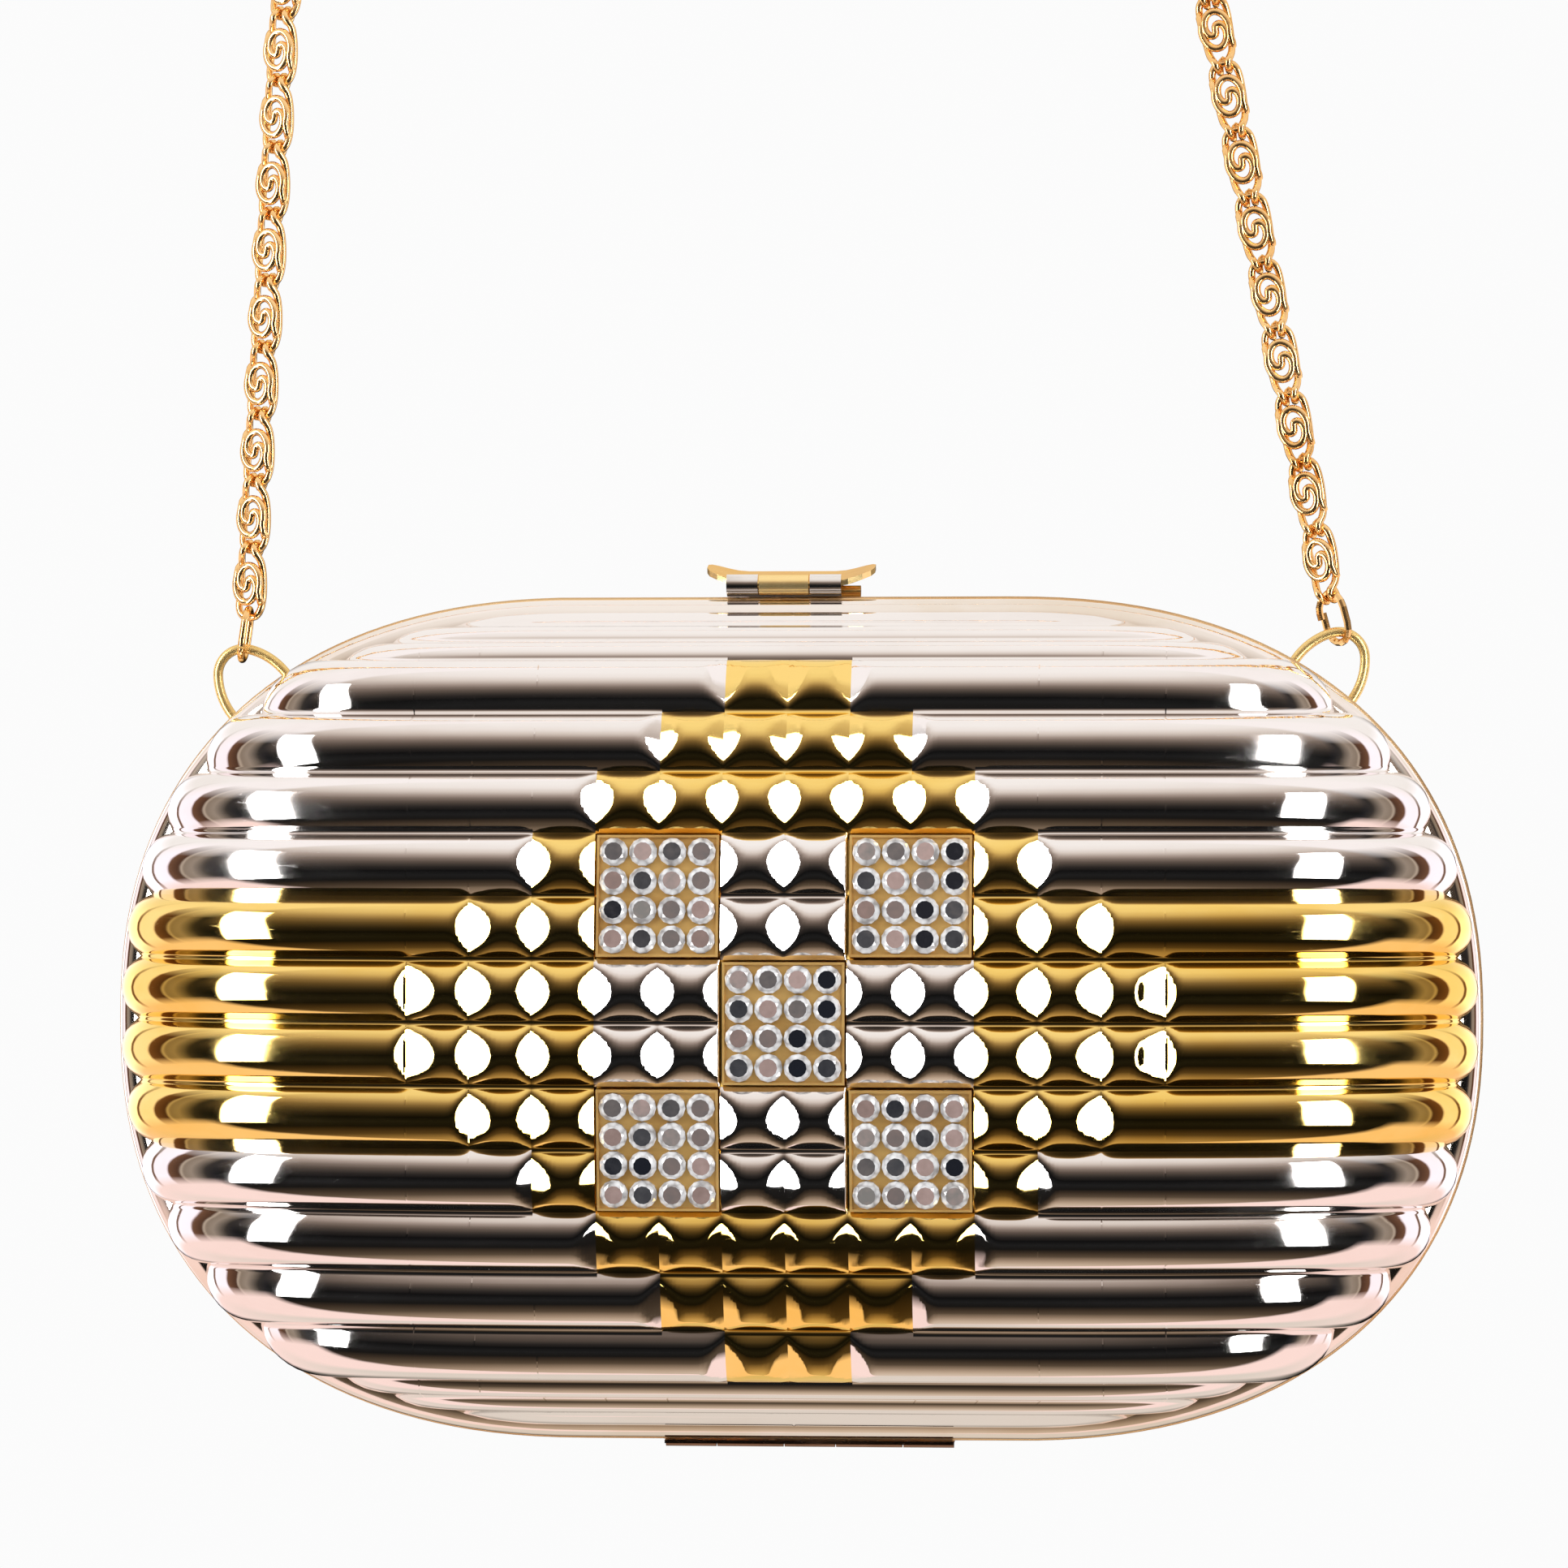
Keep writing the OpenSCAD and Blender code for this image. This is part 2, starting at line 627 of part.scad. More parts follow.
// Bent wire of diameter d: radius r, from angle a0 over a1 degrees, in the XZ plane
module bend(r, a0, a1, d) {
    rotate([90, 0, 0]) rotate([0, 0, a0])
        rotate_extrude(angle = a1) translate([r, 0]) circle(d = d);
}
module d_ring() {
    translate([0, 0, d_height - d_top_r]) bend(d_top_r, d_turn, 180 - 2 * d_turn, d_wire);
    translate([d_half_w - d_side_r, 0, 0]) bend(d_side_r, 0, d_turn, d_wire);
    translate([d_side_r - d_half_w, 0, 0]) bend(d_side_r, 180 - d_turn, d_turn, d_wire);
    for (s = [-1, 1]) translate([s * d_half_w, 0, -d_foot]) {
        cylinder(d = d_wire, h = d_foot);
        sphere(d = d_wire);
    }
    translate([-d_half_w, 0, -d_foot]) rotate([0, 90, 0]) cylinder(d = d_wire, h = 2 * d_half_w);
}
module ring_lug() {
    bore = d_wire / 2 + pin_play;
    translate([-lug_len / 2, 0, -d_foot]) rotate([0, 90, 0])
        difference() {
            cylinder(r = bore + lug_wall, h = lug_len);
            translate([0, 0, -over]) cylinder(r = bore, h = lug_len + 2 * over);
        }
}
module ring_lug_left() { color("goldenrod") place() at_seat(-1) ring_lug(); }
module ring_lug_right() { color("goldenrod") place() at_seat(1) ring_lug(); }
module d_ring_left() { color("goldenrod") place() at_seat(-1) d_ring(); }
module d_ring_right() { color("goldenrod") place() at_seat(1) d_ring(); }

// ---- split rings ----
// Highest point of a D-ring's wire, [x, z], where its split ring hangs
function d_top(side) =
    let (z = side < 0 ? seat_left_z : seat_right_z, n = rim_normal(z))
    [side * (reach_x(case_half_w, case_half_h, z) + (d_height - d_top_r) * n.x),
     z + (d_height - d_top_r) * n.y + d_top_r];
// Middle of a split ring's lowest wire above or below the D-ring's wire
split_drop = (d_wire + split_wire) / 2 + split_play;
function split_lean(side) = side < 0 ? split_lean_left : -split_lean_right;
// Middle of a split ring's top wire, [x, z]
function split_top(side) =
    let (t = d_top(side), a = split_lean(side), k = split_h - split_drop)
    [t.x + k * sin(a), t.y + k * cos(a)];
// Hangs its child from the D-ring's wire: local Z runs up along the leaning split ring
module at_split(side, turn) {
    t = d_top(side);
    translate([t.x, ring_y, t.y]) rotate([0, split_lean(side), 0])
        translate([0, 0, -split_drop]) rotate([0, 0, turn])
            children();
}
split_side = split_h - 2 * split_half_w;
// Lower half and both sides of a split ring
module split_lower() {
    translate([0, 0, split_half_w]) bend(split_half_w, 180, 180, split_wire);
    for (s = [-1, 1]) translate([s * split_half_w, 0, split_half_w])
        cylinder(d = split_wire, h = split_side);
}
module jump_ring_left() {
    color("gold") place() at_split(-1, 90)
        difference() {
            union() {
                split_lower();
                translate([0, 0, split_half_w + split_side]) bend(split_half_w, 0, 180, split_wire);
            }
            // Cut where the wire's ends almost meet, low on the front
            translate([-split_half_w - split_wire, -split_wire, split_half_w * 0.6])
                cube([2 * split_wire, 2 * split_wire, split_cut]);
        }
}
// Wire of the right split ring, from its left end down, round and over the top to the sprung end
ring_facet = 22.5;
// Angle past the top at which the free end starts, and the angle that it springs out of the plane
splay_start = 124;
splay = 42;
function split_path() =
    let (r = split_half_w,
         up = split_half_w + split_side,
         turn = (180 - splay_start) / 3,
         start = r * cos(splay_start),
         out = [for (a = [splay_start + turn : turn : 181]) [r * cos(a) - start, up + r * sin(a)]],
         last = out[len(out) - 1])
    concat(
        [[-r, 0, up]],
        [for (a = [180 : ring_facet : 360]) [r * cos(a), 0, r + r * sin(a)]],
        [for (a = [0 : ring_facet : 90]) [r * cos(a), 0, up + r * sin(a)]],
        [[start, 0, up + r * sin(splay_start)]],
        [for (p = out) [start + p[0] * cos(splay), p[0] * sin(splay), p[1]]],
        [[start + last[0] * cos(splay), last[0] * sin(splay), up - split_tip]]
    );
module jump_ring_right() {
    color("gold") place() at_split(1, -split_turn_right) wire(split_path(), split_wire / 2, 8);
}

// ---- chain ----
hook_r = chain_wire + hook_play;
// First and last hooking points: the loop inside the left split ring and the right ring's top wire
chain_start = let (t = split_top(-1)) [t.x, t.y - (split_wire + chain_wire) / 2 - hook_play];
chain_end = split_top(1);
bend_z = crown_z - crown_r;
left_top_z = bend_z + crown_r * sin(strand_lean_left);
right_top_z = bend_z + crown_r * sin(strand_lean_right);
left_bend_x = chain_start.x + (left_top_z - chain_start.y) * tan(strand_lean_left)
    + crown_r * cos(strand_lean_left);
right_bend_x = chain_end.x - (right_top_z - chain_end.y) * tan(strand_lean_right)
    - crown_r * cos(strand_lean_right);
len_left = (left_top_z - chain_start.y) / cos(strand_lean_left);
len_bend_left = crown_r * (90 - strand_lean_left) * PI / 180;
len_top = right_bend_x - left_bend_x;
len_bend_right = crown_r * (90 - strand_lean_right) * PI / 180;
len_right = (right_top_z - chain_end.y) / cos(strand_lean_right);
chain_len = len_left + len_bend_left + len_top + len_bend_right + len_right;
link_count = ceil(chain_len / chain_pitch);
link_step = chain_len / link_count;
// Point of the chain's line at the distance s from its start, [x, z]
function chain_at(s) =
    let (
        s2 = s - len_left,
        s3 = s2 - len_bend_left,
        s4 = s3 - len_top,
        a2 = strand_lean_left + s2 / crown_r * 180 / PI,
        a4 = s4 / crown_r * 180 / PI,
        back = chain_len - s
    )
    s2 < 0 ? chain_start + s * [sin(strand_lean_left), cos(strand_lean_left)]
    : s3 < 0 ? [left_bend_x - crown_r * cos(a2), bend_z + crown_r * sin(a2)]
    : s4 < 0 ? [left_bend_x + s3, crown_z]
    : s4 < len_bend_right ? [right_bend_x + crown_r * sin(a4), bend_z + crown_r * cos(a4)]
    : chain_end + back * [-sin(strand_lean_right), cos(strand_lean_right)];
// Turn of a link about its own length; the last few turn step by step to meet the split ring
turning_links = 3;
function link_twist(i) =
    let (s = (i + 1 / 2) * link_step,
         u = min(1, max(0, (s - len_left) / (len_bend_left + len_top + len_bend_right))),
         v = max(0, i + turning_links + 1 - link_count) / turning_links)
    twist_left + (twist_right - twist_left) * u + (twist_last - twist_right) * v;

// One link's wire, from the outer scroll's end to the inner scroll's end: [across, forward, along].
// Shares of the half width across and of the half pitch along; front is the scroll's face.
half_step = link_step / 2;
outer_shares = [[0.88, 0.30], [1, -0.03], [0.82, -0.36], [0.05, -0.53], [-0.8, -0.36], [-1, 0.04], [-0.84, 0.44]];
inner_shares = [[0.2, 0.54], [-0.28, 0.36], [-0.33, -0.05], [0.05, -0.26], [0.34, -0.06], [0.3, 0.1]];
loop_shares = [[1, -0.74], [0.76, -1]];
fold_x = (chain_wire + hook_play) / 2;
fold_r = hook_r * 1.18;
function face_point(p) = [p[0] * link_half_w, -hook_r, p[1] * half_step];
function fold_points(s, angles) = [
    for (a = angles) [s * fold_x, -fold_r * cos(a), half_step + fold_r * sin(a)]
];
link_path = concat(
    [for (p = outer_shares) face_point(p)],
    fold_points(-1, [20, 90, 160]),
    [[-link_half_w * 0.8, hook_r / 2, 0]],
    [for (p = loop_shares) [-p[0] * link_half_w, 0, p[1] * half_step]],
    [for (p = [loop_shares[1], loop_shares[0]]) [p[0] * link_half_w, 0, p[1] * half_step]],
    [[link_half_w * 0.8, hook_r / 2, 0]],
    fold_points(1, [160, 90, 20]),
    [for (p = inner_shares) face_point(p)]
);
// Direction of the wire at each point of its path
function tangents(p) = [
    for (i = [0 : len(p) - 1])
        let (a = p[max(i - 1, 0)], b = p[i], c = p[min(i + 1, len(p) - 1)])
        unit(i == 0 ? c - b : i == len(p) - 1 ? b - a : unit(b - a) + unit(c - b))
];
function square_to(v, t) = unit(v - (v * t) * t);
// Side direction at each point, carried along the wire without twisting
function sides(t, i, s) = i == len(t) ? [] : let (n = square_to(s, t[i])) concat([n], sides(t, i + 1, n));
module wire(p, r, facets) {
    t = tangents(p);
    s = sides(t, 0, [0, 1, 0]);
    n = len(p);
    pts = [for (i = [0 : n - 1]) for (k = [0 : facets - 1])
        let (a = 360 * (k + 1 / 2) / facets) p[i] + r * (cos(a) * s[i] + sin(a) * cross(t[i], s[i]))];
    faces = concat(
        [[for (k = [0 : facets - 1]) k]],
        [for (i = [0 : n - 2]) for (k = [0 : facets - 1])
            let (a = i * facets + k, b = i * facets + (k + 1) % facets)
            each [[a, b + facets, b], [a, a + facets, b + facets]]],
        [[for (k = [facets - 1 : -1 : 0]) (n - 1) * facets + k]]
    );
    polyhedron(points = pts, faces = faces, convexity = 6);
}
wire_facets = 4;
module links(first, last) {
    for (i = [first : last]) {
        a = chain_at(i * link_step);
        b = chain_at((i + 1) * link_step);
        m = (a + b) / 2;
        d = b - a;
        translate([m.x, ring_y, m.y]) rotate([0, atan2(d.x, d.y), 0]) rotate([0, 0, link_twist(i)])
            wire(link_path, chain_wire / 2, wire_facets);
    }
}
// Links of each straight strand, and of the arch between them
left_links = floor(len_left / link_step);
right_links = round(len_right / link_step);
module chain_left() { color("gold") place() links(0, left_links - 1); }
module chain_crown() { color("gold") place() links(left_links, link_count - right_links - 1); }
module chain_right() { color("gold") place() links(link_count - right_links, link_count - 1); }

back_shell();
front_shell();
back_frame();
front_frame();
back_lining();
front_lining();
tray_centre();
tray_upper_left();
tray_upper_right();
tray_lower_left();
tray_lower_right();
stones_centre();
stones_upper_left();
stones_upper_right();
stones_lower_left();
stones_lower_right();
hinge_leaf_back();
hinge_leaf_front();
hinge_pin();
clasp_leaf();
clasp_pin();
clasp_lever();
clasp_catch();
ring_lug_left();
ring_lug_right();
d_ring_left();
d_ring_right();
jump_ring_left();
jump_ring_right();
chain_left();
chain_crown();
chain_right();
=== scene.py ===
# %% [markdown]
# # A fluted metal evening bag, from its frame to its finish
# A minaudiere is a small hard case, carried on a chain. This one is two domed metal shells on
# narrow gilt rims, pressed into flutes, with a stepped diamond of pillow studs and five squares of
# crystals. The imported frame gives every piece its place and its moves. Here the pieces get their
# fine shapes and finishes. First the frame is loaded.

# %% Load the frame
import bpy
import math
import numpy as np
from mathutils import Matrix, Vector


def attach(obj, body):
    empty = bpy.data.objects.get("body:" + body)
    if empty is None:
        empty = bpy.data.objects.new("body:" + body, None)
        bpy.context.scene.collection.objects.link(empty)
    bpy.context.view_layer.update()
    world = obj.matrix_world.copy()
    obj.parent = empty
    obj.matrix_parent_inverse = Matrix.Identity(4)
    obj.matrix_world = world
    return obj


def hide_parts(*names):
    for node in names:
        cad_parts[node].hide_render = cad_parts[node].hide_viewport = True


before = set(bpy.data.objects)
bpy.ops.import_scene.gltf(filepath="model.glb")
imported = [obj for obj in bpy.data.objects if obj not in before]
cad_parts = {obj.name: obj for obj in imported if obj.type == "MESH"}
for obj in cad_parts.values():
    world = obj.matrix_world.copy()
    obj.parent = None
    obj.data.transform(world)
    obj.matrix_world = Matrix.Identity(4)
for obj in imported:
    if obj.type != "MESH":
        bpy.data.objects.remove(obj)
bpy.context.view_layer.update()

# %% [markdown]
# The case is easiest to think about from its own middle, in millimetres: X to the right, Y to the
# back, Z up, with the two halves parting at Y = 0. The frame counts in metres from the point where
# the chain is held, so one small function turns a place on the case into a place in the scene.

# %% From the case's millimetres to the scene
hold_height = 167.9
ring_back = 1.25


def on_case(points):
    """Places in mm from the case's middle, as places in the scene."""
    return (np.asarray(points, dtype=float) - (0.0, ring_back, hold_height)) / 1000.0


case_middle = Vector(on_case((0, 0, 0)))
print("the case's middle lies at", tuple(round(v, 4) for v in case_middle))

# %% [markdown]
# The photograph was taken almost straight on, from a little to the right, with a long lens that
# keeps the flutes parallel. A camera is set by what it aims at, how far off it stands and how wide
# a field it takes in there. The width is set from the case's outline; the distance decides
# how much larger the near studs look than the far rim.

# %% Camera
aim = Vector(on_case((-1.6, 0, 28.8)))
camera_distance = 0.80
camera_turn = math.radians(4.2)
camera_rise = math.radians(-0.3)
frame_width = 0.1932



def into_scene(name, data):
    """A new object in the scene, made of a camera, a lamp, a mesh or a curve."""
    made = bpy.data.objects.new(name, data)
    bpy.context.scene.collection.objects.link(made)
    return made


lens_data = bpy.data.cameras.new("camera")
camera = into_scene("camera", lens_data)
toward_camera = Vector((
    math.sin(camera_turn) * math.cos(camera_rise),
    -math.cos(camera_turn) * math.cos(camera_rise),
    math.sin(camera_rise),
))
camera.location = aim + toward_camera * camera_distance
camera.rotation_euler = (-toward_camera).to_track_quat("-Z", "Y").to_euler()
lens_data.sensor_width = 36.0
lens_data.lens = 36.0 * camera_distance / frame_width
lens_data.clip_start, lens_data.clip_end = 0.05, 20.0
bpy.context.scene.camera = camera
bpy.context.scene.view_settings.view_transform = "Standard"
print("lens:", round(lens_data.lens, 1), "mm at", camera_distance, "m")

# %% [markdown]
# Every finish is a small tree of nodes. These helpers keep the trees short to write: one makes the
# material and its main shader, one fills a node's inputs, one adds a node with its settings, one
# runs a value through a ramp of colours, and one does a sum. Two more start most trees: a point's
# place on its object, and a cloudy noise.

# %% Helpers for materials
def new_finish(name):
    """A material, its tree and its main shader."""
    finish = bpy.data.materials.new(name)
    finish.use_nodes = True
    return finish, finish.node_tree, finish.node_tree.nodes["Principled BSDF"]


def feed(tree, node, inputs):
    """Fills a node's inputs: a plain value is set, another node's output is linked."""
    for key, value in inputs.items():
        if isinstance(value, bpy.types.NodeSocket):
            tree.links.new(value, node.inputs[key])
        else:
            node.inputs[key].default_value = value


def add(tree, kind, inputs=None, **settings):
    """A node of one kind with its settings and inputs."""
    node = tree.nodes.new(kind)
    for key, value in settings.items():
        setattr(node, key, value)
    feed(tree, node, inputs or {})
    return node


def ramp(tree, source, stops, smooth=False):
    """A colour ramp with given stops of (place, colour)."""
    node = add(tree, "ShaderNodeValToRGB", {"Fac": source})
    band = node.color_ramp
    band.interpolation = "EASE" if smooth else "LINEAR"
    while len(band.elements) > 1:
        band.elements.remove(band.elements[-1])
    for i, (place, colour) in enumerate(stops):
        element = band.elements[0] if i == 0 else band.elements.new(place)
        element.position = place
        element.color = (*colour, 1.0) if len(colour) == 3 else (colour[0],) * 3 + (1.0,)
    return node.outputs["Color"]


def calc(tree, operation, first, second=None):
    """One sum in a tree; either side may be a number or a socket."""
    sides = {0: first} if second is None else {0: first, 1: second}
    return add(tree, "ShaderNodeMath", sides, operation=operation).outputs[0]


def place_on(tree):
    """Each point's place in its object's own axes."""
    return add(tree, "ShaderNodeTexCoord").outputs["Object"]


def noise(tree, place, scale, detail, roughness=0.5):
    """Cloudy noise from 0 to 1."""
    inputs = {"Vector": place, "Scale": scale, "Detail": detail, "Roughness": roughness}
    return add(tree, "ShaderNodeTexNoise", inputs).outputs["Fac"]


print("helpers ready")

# %% [markdown]
# Polished metal has hardly any colour of its own: it shows the room. The photographer had a white
# ceiling, a pale table and darkness behind the camera, and a tall light on either side. So the case
# hangs in a light tent: a ball of about two feet that only reflections see, white above, dark in
# the middle, pale below, and white behind with thin brown bands, which the flutes' round ends show
# as arcs. A ramp over the height of each point makes the front's bands, another over the turn about
# the upright axis makes those of the sides. Two bright strips stand for the lights; their ends
# swing outward, because that gives the flutes' highlights their slant.

# %% The light tent
tent_radius = 0.29
bpy.ops.mesh.primitive_uv_sphere_add(
    segments=96, ring_count=64, radius=tent_radius, location=case_middle)
tent = bpy.context.object
tent.name = "light_tent"

tent_finish = bpy.data.materials.new("light_tent")
tent_finish.use_nodes = True
tree = tent_finish.node_tree
tree.nodes.clear()
x, y, z = add(tree, "ShaderNodeSeparateXYZ", {0: place_on(tree)}).outputs
height = calc(tree, "DIVIDE", z, tent_radius)
elevation = calc(tree, "MULTIPLY", calc(tree, "ARCSINE", height), 180 / math.pi)
round_case = calc(tree, "ARCTAN2", x, calc(tree, "MULTIPLY", y, -1.0))
turn = calc(tree, "MULTIPLY", round_case, 180 / math.pi)


def between(source, low, high):
    """0 below low, 1 above high, and an even way between; high may be the smaller."""
    share = calc(tree, "DIVIDE", calc(tree, "SUBTRACT", source, low), high - low)
    return calc(tree, "MINIMUM", calc(tree, "MAXIMUM", share, 0.0), 1.0)


def mixed(share, first, second):
    """A blend of two colours, each a socket or a plain colour."""
    whole = [(*c, 1.0) if isinstance(c, tuple) else c for c in (first, second)]
    inputs = {"Factor": share, 6: whole[0], 7: whole[1]}
    return add(tree, "ShaderNodeMix", inputs, data_type="RGBA").outputs[2]


def bands_of(angle, low, high, stops):
    """Colours at given degrees of an angle that runs from low to high."""
    return ramp(tree, between(angle, low, high), [((d - low) / (high - low), c) for d, c in stops])


front_bands = bands_of(elevation, -90.0, 90.0, [
    (-90, (0.72, 0.6, 0.48)),
    (-80, (0.64, 0.5, 0.38)),
    (-70, (0.47, 0.35, 0.25)),
    (-60, (0.28, 0.2, 0.135)),
    (-50, (0.1, 0.07, 0.045)),
    (-40, (0.05, 0.034, 0.022)),
    (-30, (0.01, 0.009, 0.008)),
    (-18, (0.014, 0.014, 0.014)),
    (-6, (0.006, 0.006, 0.006)),
    (4, (0.026, 0.022, 0.02)),
    (11, (0.06, 0.048, 0.04)),
    (18, (0.115, 0.088, 0.072)),
    (26, (0.22, 0.172, 0.144)),
    (34, (0.41, 0.335, 0.29)),
    (44, (0.72, 0.64, 0.58)),
    (56, (0.92, 0.865, 0.825)),
    (70, (0.98, 0.945, 0.915)),
])
turned = calc(tree, "ABSOLUTE", turn)
side_bands = bands_of(turned, 0.0, 180.0, [
    (66, (0.02, 0.02, 0.024)),
    (70, (0.04, 0.034, 0.03)),
    (76, (0.33, 0.265, 0.21)),
    (80, (0.27, 0.21, 0.16)),
    (81.5, (0.52, 0.42, 0.33)),
    (83, (0.085, 0.04, 0.024)),
    (90, (0.17, 0.08, 0.045)),
    (92, (1.18, 1.06, 1.14)),
    (106, (1.2, 1.09, 1.16)),
    (107.5, (0.18, 0.095, 0.055)),
    (110, (0.24, 0.14, 0.09)),
    (111.5, (1.6, 1.56, 1.7)),
])
low_sides = mixed(between(elevation, -14.0, -26.0), side_bands, (1.05, 0.80, 0.74))
sides = mixed(between(elevation, 22.0, 44.0), low_sides, (1.02, 0.97, 0.96))
aside = calc(tree, "MULTIPLY", between(turned, 64.0, 69.0), between(turned, 148.0, 138.0))
bands = mixed(aside, front_bands, sides)
behind = between(turned, 96.0, 112.0)
for first, last, colour in ((8.0, 32.0, (0.98, 0.945, 0.915)), (-28.0, -60.0, (0.78, 0.70, 0.62))):
    share = calc(tree, "MULTIPLY", behind, between(elevation, first, last))
    bands = mixed(share, bands, colour)


def strip(centre, half_width, low, high, bend):
    """1 in an upright strip of light, 0 outside; it leans bend degrees out at 40 degrees of height."""
    swing = calc(tree, "MULTIPLY", calc(tree, "MULTIPLY", elevation, elevation), bend / 40 ** 2)
    from_centre = calc(tree, "SUBTRACT", turn, centre)
    off = calc(tree, "ABSOLUTE", calc(tree, "SUBTRACT", from_centre, swing))
    across = calc(tree, "SUBTRACT", half_width, off)
    middle, half = (low + high) / 2, (high - low) / 2
    from_middle = calc(tree, "ABSOLUTE", calc(tree, "SUBTRACT", elevation, middle))
    along = calc(tree, "SUBTRACT", half, from_middle)
    return between(calc(tree, "MINIMUM", across, along), -0.5, 0.5)


strips = calc(tree, "MAXIMUM",
              strip(centre=-56.1, half_width=5.2, low=-22, high=37, bend=-11),
              strip(centre=47.7, half_width=4.8, low=-22, high=37, bend=9))
strip_light = 12.0
glow = add(tree, "ShaderNodeEmission", {"Color": mixed(strips, bands, (strip_light,) * 3)})
add(tree, "ShaderNodeOutputMaterial", {"Surface": glow.outputs[0]})
tent.data.materials.append(tent_finish)
tent.visible_camera = tent.visible_diffuse = tent.visible_shadow = False
tent.visible_volume_scatter = False
print("tent of", tent_radius, "m round the case")

# %% [markdown]
# Under the bag lies a plain pale floor, far enough down to stay out of the photograph's view. It
# takes the bag's soft shadow. Toward its rim it turns slowly into plain white, so that from above
# it has no edge.

# %% Floor
floor_drop = 0.36
floor_radius = 1.6
bpy.ops.mesh.primitive_circle_add(
    vertices=128, radius=floor_radius, fill_type="NGON",
    location=case_middle - Vector((0, 0, floor_drop)))
floor = bpy.context.object
floor.name = "floor"
floor_finish, tree, shader = new_finish("pale_floor")
feed(tree, shader, {"Base Color": (0.86, 0.86, 0.86, 1), "Roughness": 0.9})
reach = add(tree, "ShaderNodeVectorMath", {0: place_on(tree)}, operation="LENGTH")
away = ramp(tree, calc(tree, "DIVIDE", reach.outputs["Value"], floor_radius),
            [(0.35, (0.0,)), (0.95, (1.0,))], smooth=True)
white = add(tree, "ShaderNodeEmission", {"Color": (0.965, 0.965, 0.965, 1), "Strength": 1.0})
blend = add(tree, "ShaderNodeMixShader", {0: away, 1: shader.outputs[0], 2: white.outputs[0]})
feed(tree, tree.nodes["Material Output"], {"Surface": blend.outputs[0]})
floor.data.materials.append(floor_finish)
print("floor", floor_drop, "m under the case's middle")

# %% [markdown]
# The light itself is a plain white room and two broad, soft lamps, at a level where a colour comes
# out about as it is written. Camera, mirror and glass rays see the room as white paper; soft light
# gets a little less, so pale things keep their shape.

# %% Room and lamps
room = bpy.data.worlds.new("white_room")
bpy.context.scene.world = room
room.use_nodes = True
tree = room.node_tree
tree.nodes.clear()
rays = add(tree, "ShaderNodeLightPath")
seen = calc(tree, "ADD", rays.outputs["Is Camera Ray"], rays.outputs["Is Glossy Ray"])
seen = calc(tree, "MINIMUM", calc(tree, "ADD", seen, rays.outputs["Is Transmission Ray"]), 1.0)
paper = add(tree, "ShaderNodeBackground", {"Color": (0.968, 0.968, 0.968, 1), "Strength": 1.0})
soft = add(tree, "ShaderNodeBackground", {"Color": (0.95, 0.97, 1.0, 1), "Strength": 0.75})
choice = add(tree, "ShaderNodeMixShader", {0: seen, 1: soft.outputs[0], 2: paper.outputs[0]})
add(tree, "ShaderNodeOutputWorld", {"Surface": choice.outputs[0]})


def soft_lamp(name, side, watts):
    """A broad lamp that lights the bag but isn't mirrored in it; the tent's strips are."""
    lamp = bpy.data.lights.new(name, "AREA")
    lamp.shape, lamp.size, lamp.size_y, lamp.energy = "RECTANGLE", 0.7, 0.9, watts
    holder = into_scene(name, lamp)
    holder.location = case_middle + Vector((side * 0.9, -0.9, 0.7))
    holder.rotation_euler = (case_middle - holder.location).to_track_quat("-Z", "Y").to_euler()
    holder.visible_camera = holder.visible_glossy = False


soft_lamp("lamp_left", side=-1, watts=6.0)
soft_lamp("lamp_right", side=1, watts=4.0)

# %% [markdown]
# The shells are thin plated sheet. Fresh plating is a mirror; years of handling leave a faint haze,
# a few fine scratches and a slow waviness from the press. The haze and the scratches go into the
# roughness, and the waviness into a very low bump. One function makes the silver, the gilt and the
# other metals, because they differ in little but colour. Less metal in the shader shows more of the
# metal's own tone, and a deep edge colour keeps thin wire dark against a white room.

# %% Plated metals
def plated(name, colour, deep, rough=0.035, haze=0.08, wave=0.05, grain=1.0, metal=1.0, edge=None):
    """Mirror plating: colour in the open, deep where it has dulled, edge where it turns away."""
    finish, tree, shader = new_finish(name)
    where = place_on(tree)
    stretch = add(tree, "ShaderNodeMapping", {"Scale": (0.35, 1.0, 1.0), "Vector": where})
    cloud = noise(tree, stretch.outputs[0], 70.0 * grain, 6.0, 0.62)
    shade = ramp(tree, cloud, [(0.30, deep), (0.58, colour)], smooth=True)
    fine = add(tree, "ShaderNodeMapping", {
        "Scale": (1.0, 1.0, 9.0), "Rotation": (0.0, 0.22, 0.0), "Vector": where})
    hair = noise(tree, fine.outputs[0], 420.0 * grain, 3.0, 0.7)
    scratch = calc(tree, "MULTIPLY", ramp(tree, hair, [(0.62, (0.0,)), (0.74, (1.0,))]), haze)
    fog = calc(tree, "MULTIPLY", ramp(tree, cloud, [(0.50, (0.0,)), (0.72, (1.0,))]), haze)
    level = calc(tree, "ADD", calc(tree, "ADD", scratch, fog), rough)
    swell = noise(tree, where, 150.0 * grain, 2.0)
    bump = add(tree, "ShaderNodeBump", {"Strength": wave, "Distance": 0.0004, "Height": swell})
    feed(tree, shader, {"Metallic": metal, "Base Color": shade, "Roughness": level,
                        "Normal": bump.outputs[0]})
    if edge:
        feed(tree, shader, {"Specular Tint": (*edge, 1.0)})
    return finish


